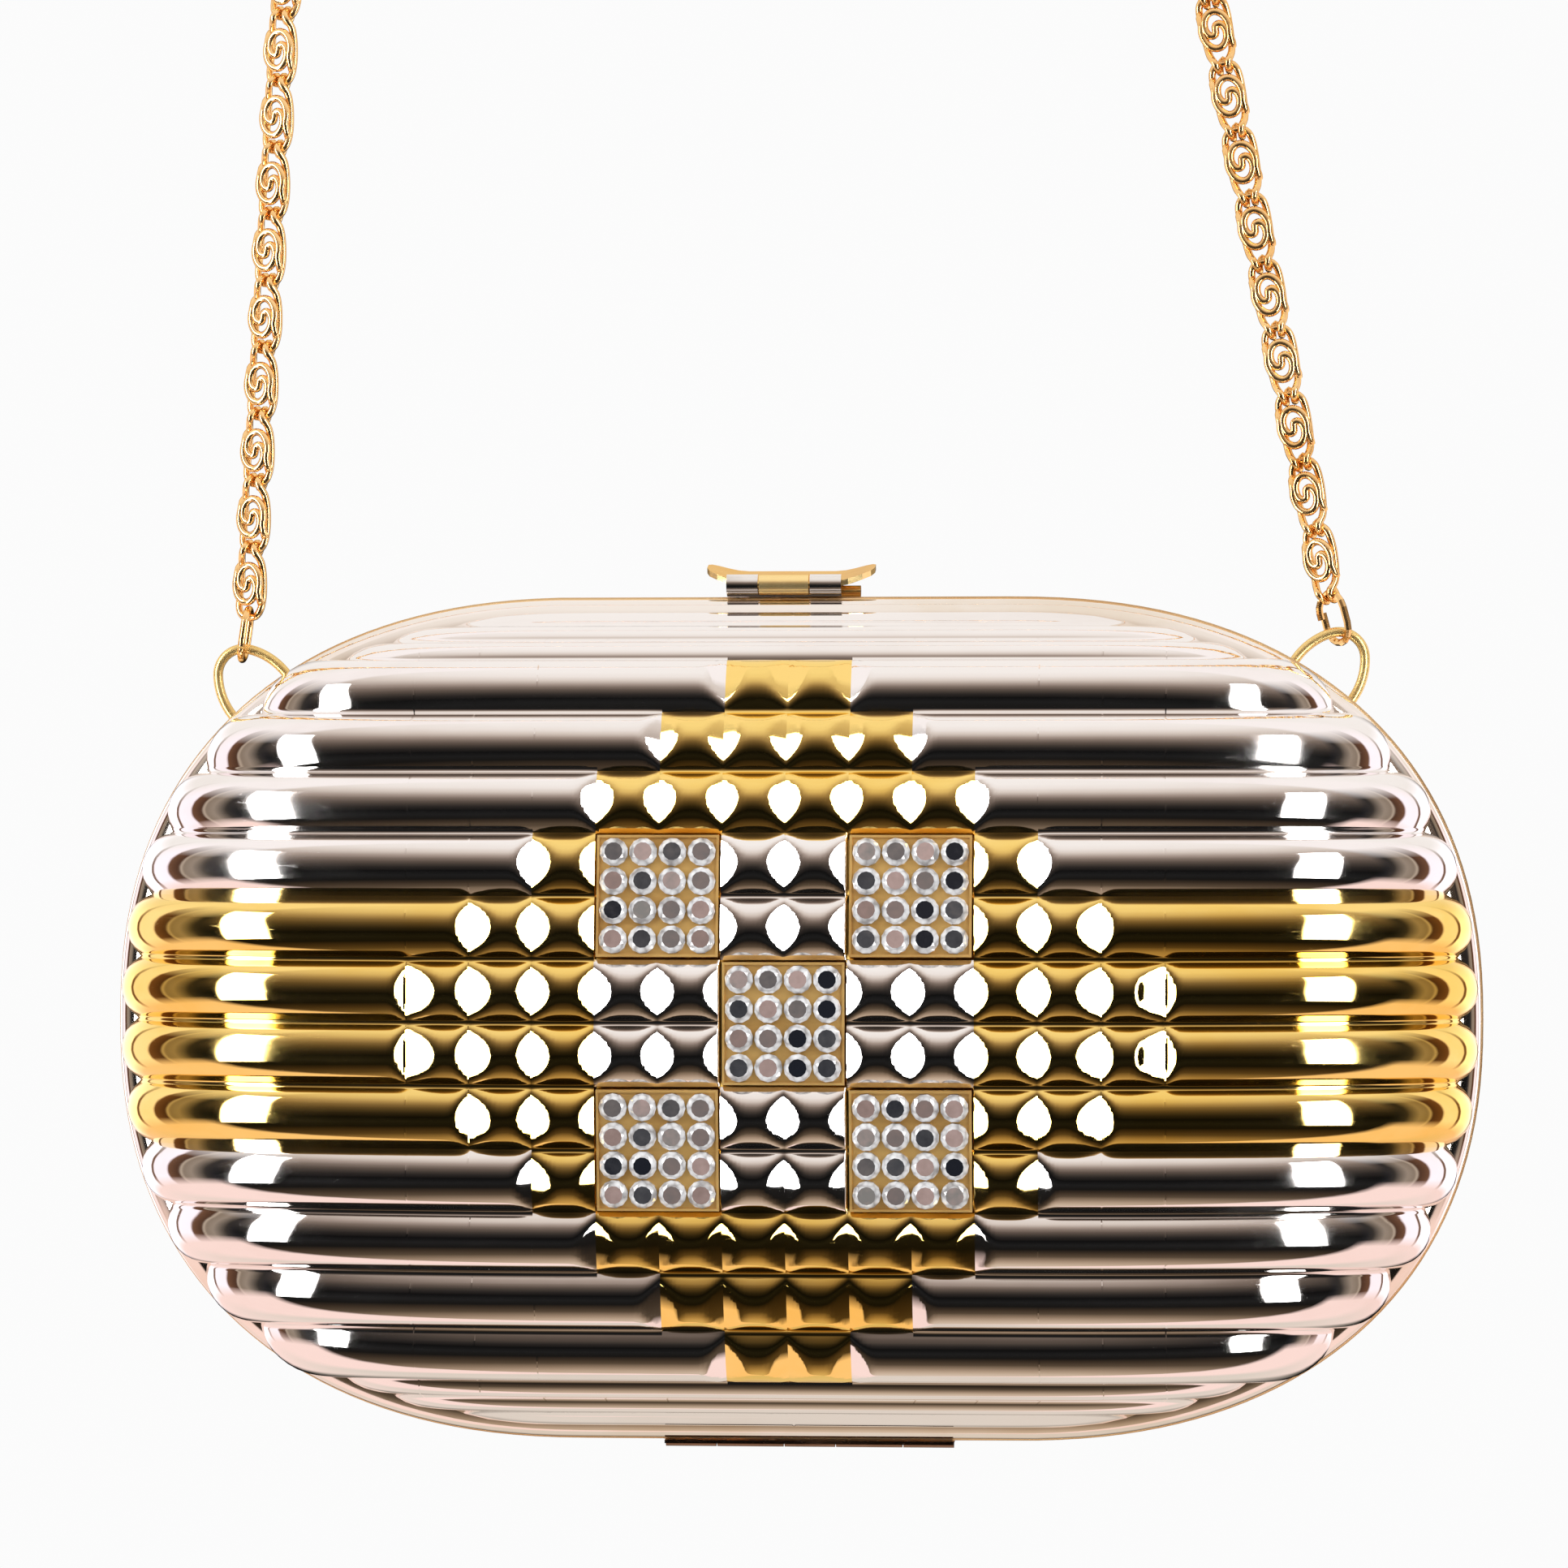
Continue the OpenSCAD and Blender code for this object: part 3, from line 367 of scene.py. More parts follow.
silver_plate = plated("silver_plate", (0.93, 0.895, 0.875), (0.88, 0.83, 0.80))
gilt_plate = plated("gilt_plate", (0.98, 0.71, 0.23), (0.94, 0.63, 0.15))
print("plated:", silver_plate.name, gilt_plate.name)

# %% [markdown]
# Each shell starts as a plain dome: a flat-topped middle with rounded ends, like a bar of soap. A
# point is given by its place across and up, and these few lines say how deep the dome is there and
# which way its skin faces. The exponent makes the ends squarer than an ellipse.

# %% The plain dome
case_half_w, case_half_h, straight_half, end_power = 84.1, 51.85, 26.0, 2.3
dome_depth, rim_depth = 20.2, 2.4
dome_a, dome_b = case_half_w - 2.9, case_half_h - 2.25
flange_a, flange_b = case_half_w - 0.4, case_half_h - 0.4


def dome_reach(z):
    """Half width of the dome at the height z."""
    share = np.maximum(0, 1 - (np.abs(z) / dome_b) ** end_power) ** (1 / end_power)
    return straight_half + (dome_a - straight_half) * share


def dome_skin(x, z):
    """Depth and outward direction of the plain dome."""
    past = np.maximum(np.abs(x) - straight_half, 0) / (dome_a - straight_half)
    up = np.minimum(np.abs(z) / dome_b, 1.0)
    level = (past ** end_power + up ** end_power) ** (1 / end_power)
    depth = dome_depth * np.sqrt(np.maximum(0, 1 - level ** 2))
    pull = np.maximum(level, 0.001) ** (2 - end_power)
    facing = np.stack([
        np.sign(x) * pull * past ** (end_power - 1) / (dome_a - straight_half),
        depth / dome_depth ** 2,
        np.sign(z) * pull * up ** (end_power - 1) / dome_b,
    ], axis=-1)
    return depth, facing / np.linalg.norm(facing, axis=-1, keepdims=True)


print("dome", 2 * dome_a, "x", 2 * dome_b, "x", dome_depth, "mm")

# %% [markdown]
# Six broad flutes and three narrow ones run above the middle, and the same below. In section each
# is a flat arc. The studs of the diamond are the same arcs crossed by creases, and a sheet pressed
# so keeps the lower of the two heights: a pillow with four edges. Where flute and crease meet, the
# edge is eased a little, as a press can't make a knife edge there.

# %% Flutes and studs
stud, flute_rise, trim_w, trim_rise, steps = 7.6, 2.3, 3.1, 0.6, 6
upper_shares = [0, 0.276, 0.541, 0.78, 0.87, 0.94, 1]
flute_edges = [0, stud, 2 * stud] + [3 * stud + (dome_b - 3 * stud) * s for s in upper_shares]
flutes = len(flute_edges) - 1


def arc(share, width, rise):
    """Height of a flat arc over its width."""
    radius = (width * width / 4 + rise * rise) / (2 * rise)
    off = width * (share - 0.5)
    return np.sqrt(np.maximum(0, radius ** 2 - off ** 2)) - (radius - rise)


def lower_of(a, b, ease=0.2):
    """The lower of two heights, with the edge between them eased."""
    near = np.maximum(ease - np.abs(a - b), 0) / ease
    return np.minimum(a, b) - near * near * ease / 4


print("flutes on each side:", flutes, "| edges at", [round(e, 1) for e in flute_edges])

# %% [markdown]
# The field is a grid. Its rows follow the flutes and its columns follow the studs and then run out
# to the case's ends, both closer together near the creases. For each point the grid keeps which
# flute and which stud it lies in, so that these numbers later say whether it is silver or gilt.

# %% The grid
crowding = 0.6
past_last_crease = [0.004, 0.010, 0.018, 0.027, 0.045, 0.055, 0.09]


def grid_rows(per_flute, per_trim):
    """Rows from the bottom to the top: flute, share of its width, side."""
    half = []
    for i in range(flutes):
        count = per_flute if i < steps else per_trim
        k = np.arange(count)
        shares = (1 - np.cos(np.pi * k / count)) / 4 + k / count / 2
        half += [(i, s) for s in shares]
    half.append((flutes - 1, 1.0))
    return [(i, s, -1) for i, s in half[:0:-1]] + [(i, s, 1) for i, s in half]


def row_height(i, share):
    """Height of a row above the middle, in mm."""
    low, high = (math.asin(min(1, flute_edges[i + k] / dome_b)) for k in (0, 1))
    return dome_b * math.sin(low + (high - low) * share)


def grid_columns(per_stud, per_end):
    """Columns from left to right: studs from the middle, share of the plain end, side."""
    shares = np.arange(2 * steps * per_stud + 1) / per_stud
    inner = list(-steps + shares - crowding * np.sin(2 * np.pi * shares) / (2 * np.pi))
    ends = sorted([(k + 1) / per_end for k in range(per_end)] + past_last_crease)
    return ([(-steps, e, -1) for e in reversed(ends)]
            + [(s, 0.0, 0) for s in inner]
            + [(steps, e, 1) for e in ends])


rows = grid_rows(per_flute=12, per_trim=6)
columns = grid_columns(per_stud=20, per_end=28)
print("grid:", len(rows), "rows x", len(columns), "columns")

# %% [markdown]
# Between two studs lies a V crease. Its flanks are straight, and each leans so far that it mirrors
# one of the two lights: that is where the white leaves in the photograph come from. As the dome
# turns away toward the ends, the lean changes with it, so that every flank still finds its light.

# %% Studs and the creases between them
valley, valley_dip = 0.88, 0.3
flank_lean, lean_per_mm = 28.6, 0.096
stud_crown, run_out = 0.14, 0.5


def crease_height(x, off, share, facing):
    """Height of the crease's flanks at x, off mm from the nearest crease."""
    dome_lean = np.degrees(np.arctan2(facing[:, 0], facing[:, 1])) + lean_per_mm * x
    lean = np.radians(flank_lean + np.sign(off) * dome_lean)
    return valley - valley_dip * (2 * share - 1) ** 2 + np.tan(lean) * np.abs(off)


def studded_height(rise, from_middle, span, x, share, facing):
    """A row's height with span studs on each side; from_middle counts studs."""
    off = (from_middle - np.round(from_middle)) * stud
    across = np.abs(from_middle)
    plump = 1 - stud_crown * (1 - 2 * np.abs(off) / stud) ** 2
    fade = np.clip((across - span) / run_out, 0, 1)
    pressed = lower_of(rise * (plump + (1 - plump) * fade), crease_height(x, off, share, facing))
    return np.maximum(np.where(across < span + run_out, pressed, rise), 0)


print("crease flanks lean", flank_lean, "degrees in the middle")

# %% [markdown]
# Now the skin itself. Where the diamond is, studs rise; in the five squares the sheet is pressed
# flat for the crystals; everywhere else the flutes run on. The back shell is the same press work
# without the diamond. At the foot every row ends on the dome's edge.

# %% The skin of a shell
cell_sink = 0.2
groove_round = 0.3
widest_field = 0.9


def in_square(i, c):
    """True in the five squares that carry crystals."""
    return (i == 0 and abs(c) < 1) or (i in (1, 2) and 1 < abs(c) < 3)


def skin(rows, columns, studded):
    """Points of the pressed skin, row by row, in the case's millimetres, domed toward +Y."""
    points = np.zeros((len(rows), len(columns), 3))
    s, end, way = (np.array([c[k] for c in columns], dtype=float) for k in range(3))
    past_field = np.sin(end * np.pi / 2)
    for r, (i, share, side) in enumerate(rows):
        z = side * row_height(i, share)
        reach = float(dome_reach(z))
        field = min(steps * stud, widest_field * reach)
        x = s / steps * field + way * (reach - field) * past_field
        depth, facing = dome_skin(x, np.full_like(x, z))
        if i < steps:
            flute = np.hypot(arc(share, stud, flute_rise), groove_round)
        else:
            flute = arc(share, trim_w, trim_rise)
        rise = np.full(len(columns), flute)
        if studded and i < steps:
            from_middle = s + way * past_field * (reach - field) / stud
            rise = studded_height(rise, from_middle, steps - i, x, share, facing)
            flat = np.array([in_square(i, c) and (share > 0 or i == 0) for c in s]) & (end == 0)
            rise = np.where(flat, -cell_sink, rise)
        foot = (i == flutes - 1 and share == 1.0)
        depth = np.where((end == 1.0) | foot, 0.0, depth)
        points[r] = np.stack([x, depth, np.full_like(x, z)], axis=-1) + rise[:, None] * facing
    return points


front_points = skin(rows, columns, True)
print("front skin stands", round(front_points[:, :, 1].max() + rim_depth, 2), "mm off the middle")

# %% [markdown]
# A mesh is points and the quads between them. The gilding follows the press work: the four middle
# flutes and the diamond are gilt, and a cross inside the diamond stays silver. So the quads are
# sorted by the metal they carry and made into two pieces, which meet exactly in the creases. Smooth
# shading suits the flutes, but the creases between studs are kept sharp.

# %% From grid to pieces
def is_gilt(i, c, studded):
    """Whether flute i is gilt at c studs from the middle."""
    off = abs(c)
    if not studded:
        return i < 2
    if (i == 0 and 1 < off < 3) or (i in (1, 2) and off < 1):
        return False
    return i < 2 or (i < steps and off < steps - i)


def make_piece(name, points, faces, finish, smooth=True):
    """A mesh piece from points in the case's millimetres."""
    mesh = bpy.data.meshes.new(name)
    mesh.from_pydata([tuple(p) for p in on_case(points)], [], faces)
    mesh.update()
    mesh.polygons.foreach_set("use_smooth", [smooth] * len(mesh.polygons))
    mesh.materials.append(finish)
    return into_scene(name, mesh)


def keep_creases(piece):
    """Keeps the creases between studs sharp, where smooth shading would round them off."""
    near = 0.015
    places = [vertex.co.x * 1000 / stud for vertex in piece.data.vertices]
    on_crease = [abs(place - round(place)) < near and abs(place) < steps + 0.1 for place in places]
    for edge in piece.data.edges:
        edge.use_edge_sharp = all(on_crease[v] for v in edge.vertices)


def shell_pieces(name, points, rows, columns, studded, side):
    """The silver and the gilt piece of one shell; side is -1 for the front and 1 for the back."""
    flat = points.reshape(-1, 3).copy()
    flat[:, 1] = side * (flat[:, 1] + rim_depth)
    wide = len(columns)
    quads = {"silver": [], "gilt": []}
    for r in range(len(rows) - 1):
        i = min(rows[r][0], rows[r + 1][0]) if rows[r][2] < 0 else rows[r][0]
        for c in range(wide - 1):
            a = r * wide + c
            middle = (columns[c][0] + columns[c + 1][0]) / 2
            if columns[c][2] or columns[c + 1][2]:
                middle = steps + 1.0
            quad = (a, a + 1, a + wide + 1, a + wide)
            quads["gilt" if is_gilt(i, middle, studded) else "silver"].append(
                quad if side < 0 else quad[::-1])
    made = []
    for metal, finish in (("silver", silver_plate), ("gilt", gilt_plate)):
        used = sorted({p for q in quads[metal] for p in q})
        number = {p: k for k, p in enumerate(used)}
        faces = [tuple(number[p] for p in q) for q in quads[metal]]
        made.append(make_piece(f"{name}_{metal}", flat[used], faces, finish))
    return made


front_silver, front_gilt = shell_pieces("front_shell", front_points, rows, columns, True, -1)
print("front shell quads:", len(front_silver.data.polygons), "silver,",
      len(front_gilt.data.polygons), "gilt")

# %% [markdown]
# Round the foot of each dome runs a narrow turned edge, which closes the flutes' ends and meets the
# rim. It is a ring between two outlines of the same family. Its section is a hollowed-out quarter
# round: it leaves the dome's wall, bends outward and ends square on the rim, so it mirrors the
# bright sides of the room and not the dark in front.

# %% Flanges
edge_height, edge_angles, edge_steps, edge_overlap = 2.2, (22, 85), 8, 0.5


def outline(a, b, count=160):
    """A rounded outline of half width a and half height b, going round once."""
    t = np.linspace(0, 2 * np.pi, count, endpoint=False)
    cosine, sine = np.cos(t), np.sin(t)
    x = np.sign(cosine) * (straight_half + (a - straight_half) * np.abs(cosine) ** (2 / end_power))
    return np.stack([x, b * np.sign(sine) * np.abs(sine) ** (2 / end_power)], axis=-1)


def ring_quads(rings, count, closed=False):
    """Quads between neighbouring rings of count points each, which follow each other."""
    for k in range(rings if closed else rings - 1):
        for j in range(count):
            beside, above = (j + 1) % count, (k + 1) % rings * count
            yield k * count + j, k * count + beside, above + beside, above + j


def flange(name, side):
    """The turned edge round a shell's foot, from the dome's wall out and down to the rim."""
    inner = outline(dome_a - edge_overlap, dome_b - edge_overlap)
    outer = outline(flange_a, flange_b)
    low, high = edge_angles
    first, last = math.radians(low), math.radians(high)
    rings = []
    for k in range(edge_steps + 1):
        angle = math.radians(low + (high - low) * k / edge_steps)
        share = (math.sin(angle) - math.sin(first)) / (math.sin(last) - math.sin(first))
        drop = (math.cos(angle) - math.cos(last)) / (math.cos(first) - math.cos(last))
        rings.append((inner + (outer - inner) * share, rim_depth + edge_height * drop))
    points = np.array([(p[0], side * y, p[1]) for ring, y in rings for p in ring])
    faces = [quad if side > 0 else quad[::-1] for quad in ring_quads(len(rings), len(inner))]
    return make_piece(name, points, faces, flange_plate)


flange_plate = plated("flange_plate", (0.92, 0.86, 0.80), (0.84, 0.74, 0.62),
                      rough=0.06, haze=0.08, wave=0.05)
front_flange = flange("front_flange", -1)
for piece in (front_silver, front_gilt, front_flange):
    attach(piece, "lid")
keep_creases(front_silver)
keep_creases(front_gilt)
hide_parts("front_shell")
print("front shell in place")

# %% [markdown]
# The back can't be seen in the photograph. On such a case the back shell comes from the same press
# without the diamond, so its flutes run through, and the middle four are gilt as in front.

# %% Back shell
back_columns = grid_columns(per_stud=4, per_end=28)
back_points = skin(rows, back_columns, False)
back_silver, back_gilt = shell_pieces("back_shell", back_points, rows, back_columns, False, 1)
back_flange = flange("back_flange", 1)
for piece in (back_silver, back_gilt, back_flange):
    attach(piece, "case")
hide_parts("back_shell")
print("back shell quads:", len(back_silver.data.polygons) + len(back_gilt.data.polygons))

# %% [markdown]
# The hinge, the clasp and the D-rings have their right shape in the frame already, so they only get
# finishes. Each has its own metal: dark bronze on the hinge, drawn brass wire, and bright gilt and
# silver on the clasp. The worn gilt is for the rims, which come next.

# %% Finishes for the small metal pieces
def dress(node, finish):
    """Gives a piece of the frame its finish."""
    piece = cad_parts[node]
    if not piece.material_slots:
        piece.data.materials.append(finish)
    for slot in piece.material_slots:
        slot.material = finish


rim_gilt = plated("rim_gilt", (0.90, 0.60, 0.30), (0.74, 0.44, 0.20),
                  rough=0.22, haze=0.14, wave=0.1, metal=0.6)
bronze = plated("hinge_bronze", (0.30, 0.17, 0.11), (0.14, 0.08, 0.05),
                rough=0.22, haze=0.25, wave=0.2, grain=2.0)
brass_wire = plated("brass_wire", (0.93, 0.68, 0.28), (0.80, 0.55, 0.19),
                    rough=0.30, haze=0.06, wave=0.01, metal=0.8, edge=(0.60, 0.38, 0.16))
bright_gilt = plated("bright_gilt", (0.99, 0.71, 0.27), (0.93, 0.57, 0.17), rough=0.12, haze=0.08,
                     wave=0.04, grain=2.0, metal=0.88, edge=(0.60, 0.36, 0.12))
lever_gilt = plated("lever_gilt", (0.99, 0.75, 0.35), (0.94, 0.62, 0.22), rough=0.12, haze=0.08,
                    wave=0.04, grain=2.0, metal=0.80, edge=(0.80, 0.55, 0.28))
clasp_silver = plated("clasp_silver", (0.86, 0.83, 0.80), (0.66, 0.61, 0.57),
                      rough=0.07, haze=0.14, wave=0.1, grain=2.0)
chain_gilt = plated("chain_gilt", (0.99, 0.66, 0.30), (0.93, 0.55, 0.20),
                    rough=0.13, haze=0.04, wave=0.0, metal=0.96, edge=(0.55, 0.30, 0.10))

for finish, nodes in (
        (bronze, ("hinge_leaf_back", "hinge_leaf_front", "hinge_pin")),
        (brass_wire, ("d_ring_left", "d_ring_right", "ring_lug_left", "ring_lug_right")),
        (lever_gilt, ("clasp_lever",)),
        (bright_gilt, ("clasp_catch", "clasp_pin")),
        (clasp_silver, ("clasp_leaf",)),
        (chain_gilt, ("jump_ring_left", "jump_ring_right"))):
    for node in nodes:
        dress(node, finish)
print("dressed the small metal pieces")

# %% [markdown]
# A narrow gilt rim closes each shell where the halves meet. It is a flat wire with eased edges,
# bent round the outline and brazed at its ends. The wire's section is drawn once, as a rectangle
# with rounded corners, and each of its points is carried round the outline. Under the case the
# front edge steps back to make room for the hinge's barrel.

# %% Rims
rim_wall, rim_gap, rim_ease = 1.2, 0.1, 0.24
hinge_middle, hinge_room_w, hinge_room_y, notch_step = 1.6, 35.8, 1.1, 0.05


def rim_section(front):
    """The wire's section from its front edge: how far in from the outline and how far back."""
    section = []
    near, far, inner = front + rim_ease, rim_depth - rim_ease, rim_wall - rim_ease
    corners = ((rim_ease, near), (rim_ease, far), (inner, far), (inner, near))
    for corner, (inward, back) in enumerate(corners):
        for degrees in (0, 30, 60, 90):
            bend = math.radians(270 - 90 * corner - degrees)
            section.append((inward + rim_ease * math.sin(bend), back + rim_ease * math.cos(bend)))
    return section


def rim(name, side):
    """A closed band round the case; side is -1 for the front and 1 for the back."""
    left, right = hinge_middle - hinge_room_w / 2, hinge_middle + hinge_room_w / 2
    loops = []
    for (inset, full), (_, cut) in zip(rim_section(rim_gap), rim_section(hinge_room_y)):
        line = outline(case_half_w - inset, case_half_h - inset)
        under = len(line) * 3 // 4 + 1
        notch = [(left, full), (left + notch_step, cut), (right - notch_step, cut), (right, full)]
        loops.append([(x, side * full, z) for x, z in line[:under]]
                     + [(x, side * y, inset - case_half_h) for x, y in notch]
                     + [(x, side * full, z) for x, z in line[under:]])
    points = np.array([p for loop in loops for p in loop])
    quads = ring_quads(len(loops), len(loops[0]), closed=True)
    return make_piece(name, points, [q if side < 0 else q[::-1] for q in quads], rim_gilt)


for name, side, body in (("front_rim", -1, "lid"), ("back_rim", 1, "case")):
    band = rim(name, side)
    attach(band, body)
    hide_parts(name.replace("rim", "frame"))
print("rims round both halves")

# %% [markdown]
# Inside, each shell is lined with satin pasted over card. Satin shows a fine weave and a soft sheen
# along its threads. Two crossed waves make the weave, small enough to read only close by, and a
# slow noise gives the cloth its uneven tone.

# %% Satin lining
satin, tree, shader = new_finish("satin_lining")
where = place_on(tree)
warp = add(tree, "ShaderNodeTexWave", {"Scale": 900.0, "Distortion": 0.6, "Vector": where},
           bands_direction="X")
weft = add(tree, "ShaderNodeTexWave", {"Scale": 700.0, "Distortion": 0.8, "Vector": where},
           bands_direction="Z")
mottle = noise(tree, where, 60.0, 5.0)
threads = calc(tree, "MULTIPLY", warp.outputs["Fac"], weft.outputs["Fac"])
tone = calc(tree, "ADD", calc(tree, "MULTIPLY", threads, 0.35),
            calc(tree, "MULTIPLY", mottle, 0.65))
shade = ramp(tree, tone, [(0.15, (0.012, 0.011, 0.013)), (0.75, (0.045, 0.042, 0.048))])
weave = add(tree, "ShaderNodeBump", {"Strength": 0.35, "Distance": 0.0002, "Height": threads})
feed(tree, shader, {"Base Color": shade, "Roughness": 0.48, "Sheen Weight": 0.35,
                    "Sheen Roughness": 0.4, "Normal": weave.outputs[0]})
print("satin ready")

# %% [markdown]
# The lining follows the shell like a shallower bowl inside it. Its edge is turned outward and
# tucked behind the rim, so that no bare metal shows when the bag is open. It is drawn as rings,
# from a small middle patch out to the dome's foot, and one last ring meets the rim's inner wall.

# %% Linings
lining_inset, lining_angles, lining_rings = 1.6, (3, 86), 26
foot_inset, foot_lift, tuck_gap, tuck_drop = 1.0, 0.2, 0.1, 0.6


def lining(name, side):
    """A smooth bowl inside the dome; side is -1 for the front and 1 for the back."""
    rings = []
    for angle in np.radians(np.linspace(*lining_angles, lining_rings)):
        level = math.sin(angle)
        ring = outline(straight_half + (dome_a - lining_inset - straight_half) * level,
                       (dome_b - lining_inset) * level)
        rings.append((ring, rim_depth + (dome_depth - lining_inset) * math.cos(angle)))
    rings.append((outline(dome_a - foot_inset, dome_b - foot_inset), rim_depth + foot_lift))
    tuck = outline(case_half_w - rim_wall - tuck_gap, case_half_h - rim_wall - tuck_gap)
    rings.append((tuck, rim_depth - tuck_drop))
    count = len(tuck)
    points = np.array([(p[0], side * y, p[1]) for ring, y in rings for p in ring])
    faces = [tuple(range(count))] + [(a, d, c, b) for a, b, c, d in ring_quads(len(rings), count)]
    if side > 0:
        faces = [face[::-1] for face in faces]
    paths = points.reshape(len(rings), count, 3)[:, [0, count // 4]]
    wide, high = 2 * (np.linalg.norm(np.diff(paths, axis=0), axis=2).sum(axis=0)
                      + np.abs(paths[0][[0, 1], [0, 2]]))
    return make_piece(name, points, faces, satin), wide, high


for name, side, body in (("front_satin", -1, "lid"), ("back_satin", 1, "case")):
    cloth, wide, high = lining(name, side)
    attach(cloth, body)
    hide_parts(name.replace("satin", "lining"))
print("linings in satin")

# %% [markdown]
# Five small gilt trays sit in the pressed squares, each with sixteen round crystals in four rows
# of four. The stones are flat-backed: a clear girdle, a ring of small cut faces and a flat table
# over a mirror foil. Real glass over foil is slow and noisy to render at this size. So the foil's
# reflections are painted into the colour of a polished dark face, a tone that changes from stone to
# stone, and the light in the girdle and facets is painted as a pale colour with bright flecks.

# %% Crystals
tray_side, tray_lip, tray_floor = 14.7, 0.3, 0.3
tray_gap = 0.25
tray_gilt = plated("tray_gilt", (0.86, 0.53, 0.17), (0.66, 0.36, 0.10),
                   rough=0.30, haze=0.10, wave=0.1, grain=3.0, metal=0.45)
stone_pitch = (tray_side - 2 * tray_lip) / 4
stone_d, girdle, crown, table_d = stone_pitch - 0.1, 0.5, 0.6, 2.2
facets, facet_reach, facet_height = 12, 0.415, 0.62

# Painted reflection: the table's colour, a tone drawn at random per stone, stands in for the foil's
# mirrored light.
foil, tree, shader = new_finish("crystal_table_painted_reflection")
island = add(tree, "ShaderNodeNewGeometry").outputs["Random Per Island"]
cloud = noise(tree, place_on(tree), 900.0, 2.0)
square = add(tree, "ShaderNodeObjectInfo").outputs["Random"]
draw = calc(tree, "FRACT", calc(tree, "ADD", island, square))
mix = calc(tree, "ADD", calc(tree, "MULTIPLY", draw, 0.85), calc(tree, "MULTIPLY", cloud, 0.15))
shade = ramp(tree, mix, [
    (0.12, (0.018, 0.02, 0.028)),
    (0.3, (0.09, 0.088, 0.095)),
    (0.45, (0.22, 0.19, 0.18)),
    (0.62, (0.36, 0.25, 0.22)),
    (0.78, (0.6, 0.43, 0.39)),
    (0.9, (0.3, 0.28, 0.26)),
])
feed(tree, shader, {"Base Color": shade, "Metallic": 0.25, "Roughness": 0.12,
                    "Coat Weight": 1.0, "Coat Roughness": 0.02})

# Painted sparkle: the girdle's pale colour with bright flecks stands in for light caught and bent by
# the glass.
rim_glass, tree, shader = new_finish("crystal_rim_painted_glints")
painted_glint_cells = add(tree, "ShaderNodeTexVoronoi", {"Scale": 1100.0, "Vector": place_on(tree)})
shade = ramp(tree, painted_glint_cells.outputs["Distance"], [
    (0.0, (0.97, 0.97, 0.96)), (0.42, (0.80, 0.79, 0.79)), (0.85, (0.36, 0.34, 0.33))])
feed(tree, shader, {"Base Color": shade, "Roughness": 0.06, "IOR": 1.56, "Coat Weight": 0.6})
print("each square holds 16 stones of", round(stone_d, 2), "mm")

# %% [markdown]
# Each stone is four rings of points: foot, girdle, facets and table. The facet edges alternate
# between the girdle and the table, as a cutter leaves them, and no two neighbours are set at the
# same turn. All sixteen of a square share one mesh, in the tray's own axes, and the square's place
# on the dome turns and moves them.

# %% Stones on their squares
def stone_mesh(spin):
    """Points and faces of one stone about the origin, its table toward +Y and last."""
    points, faces = [], []
    rings = [(stone_d / 2, 0.0, 0.0), (stone_d / 2, girdle, 0.0),
             (stone_d * facet_reach, girdle + crown * facet_height, 0.5),
             (table_d / 2, girdle + crown, 0.0)]
    for radius, y, shift in rings:
        for k in range(facets):
            angle = 2 * math.pi * (k + shift) / facets + spin
            points.append((radius * math.cos(angle), y, radius * math.sin(angle)))
    for n, (a, b, d, c) in enumerate(ring_quads(len(rings), facets)):
        if n < facets:
            faces.append((a, c, d, b))
        elif n < 2 * facets:
            faces += [(a, c, b), (b, c, d)]
        else:
            faces += [(a, c, d), (a, d, b)]
    faces.append(tuple(3 * facets + k for k in reversed(range(facets))))
    return points, faces


def square_axes(column, row):
    """Middle of a square on the front skin and its three directions, in mm."""
    x, z = column * 2 * stud, row * 2 * stud
    depth, facing = dome_skin(np.array([float(x)]), np.array([float(z)]))
    out = facing[0] * (1, -1, 1)
    middle = np.array([x, -(depth[0] + rim_depth), z]) + (tray_gap - cell_sink) * out
    swing = math.atan2(-facing[0][0], facing[0][1])
    right = np.array([math.cos(swing), -math.sin(swing), 0.0])
    up = np.cross(right, out)
    up = up if up[2] > 0 else -up
    return middle, right, out, up


squares = {"centre": (0, 0), "upper_left": (-1, 1), "upper_right": (1, 1),
           "lower_left": (-1, -1), "lower_right": (1, -1)}
for number, (name, (column, row)) in enumerate(squares.items()):
    middle, right, out, up = square_axes(column, row)
    points, faces, tables = [], [], []
    for i in range(4):
        for j in range(4):
            spin = math.radians((37 * (4 * i + j) + 53 * number) % 30)
            own_points, own_faces = stone_mesh(spin)
            start = len(points)
            shift = ((i - 1.5) * stone_pitch, tray_floor, (j - 1.5) * stone_pitch)
            points += [tuple(np.add(p, shift)) for p in own_points]
            faces += [tuple(start + k for k in f) for f in own_faces]
            tables.append(len(faces) - 1)
    local = np.array(points)
    placed = middle + local[:, :1] * right + local[:, 1:2] * out + local[:, 2:] * up
    stones = make_piece(f"crystals_{name}", placed, faces, rim_glass, smooth=False)
    stones.data.materials.append(foil)
    for k in tables:
        stones.data.polygons[k].material_index = 1
    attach(stones, "lid")
    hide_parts(f"stones_{name}")
    dress(f"tray_{name}", tray_gilt)
print("crystals set:", 16 * len(squares))

# %% [markdown]
# The chain is made of scroll links. Each is bent from wire: a long ring whose narrow end folds over
# the next link's wide end, and on its front a scroll, two arms that wind into each other like an S.
# A curve with a round bevel is the natural way to draw a bent wire. First comes the line that the
# chain hangs in: up from the left split ring, over the hand, and down to the right one.

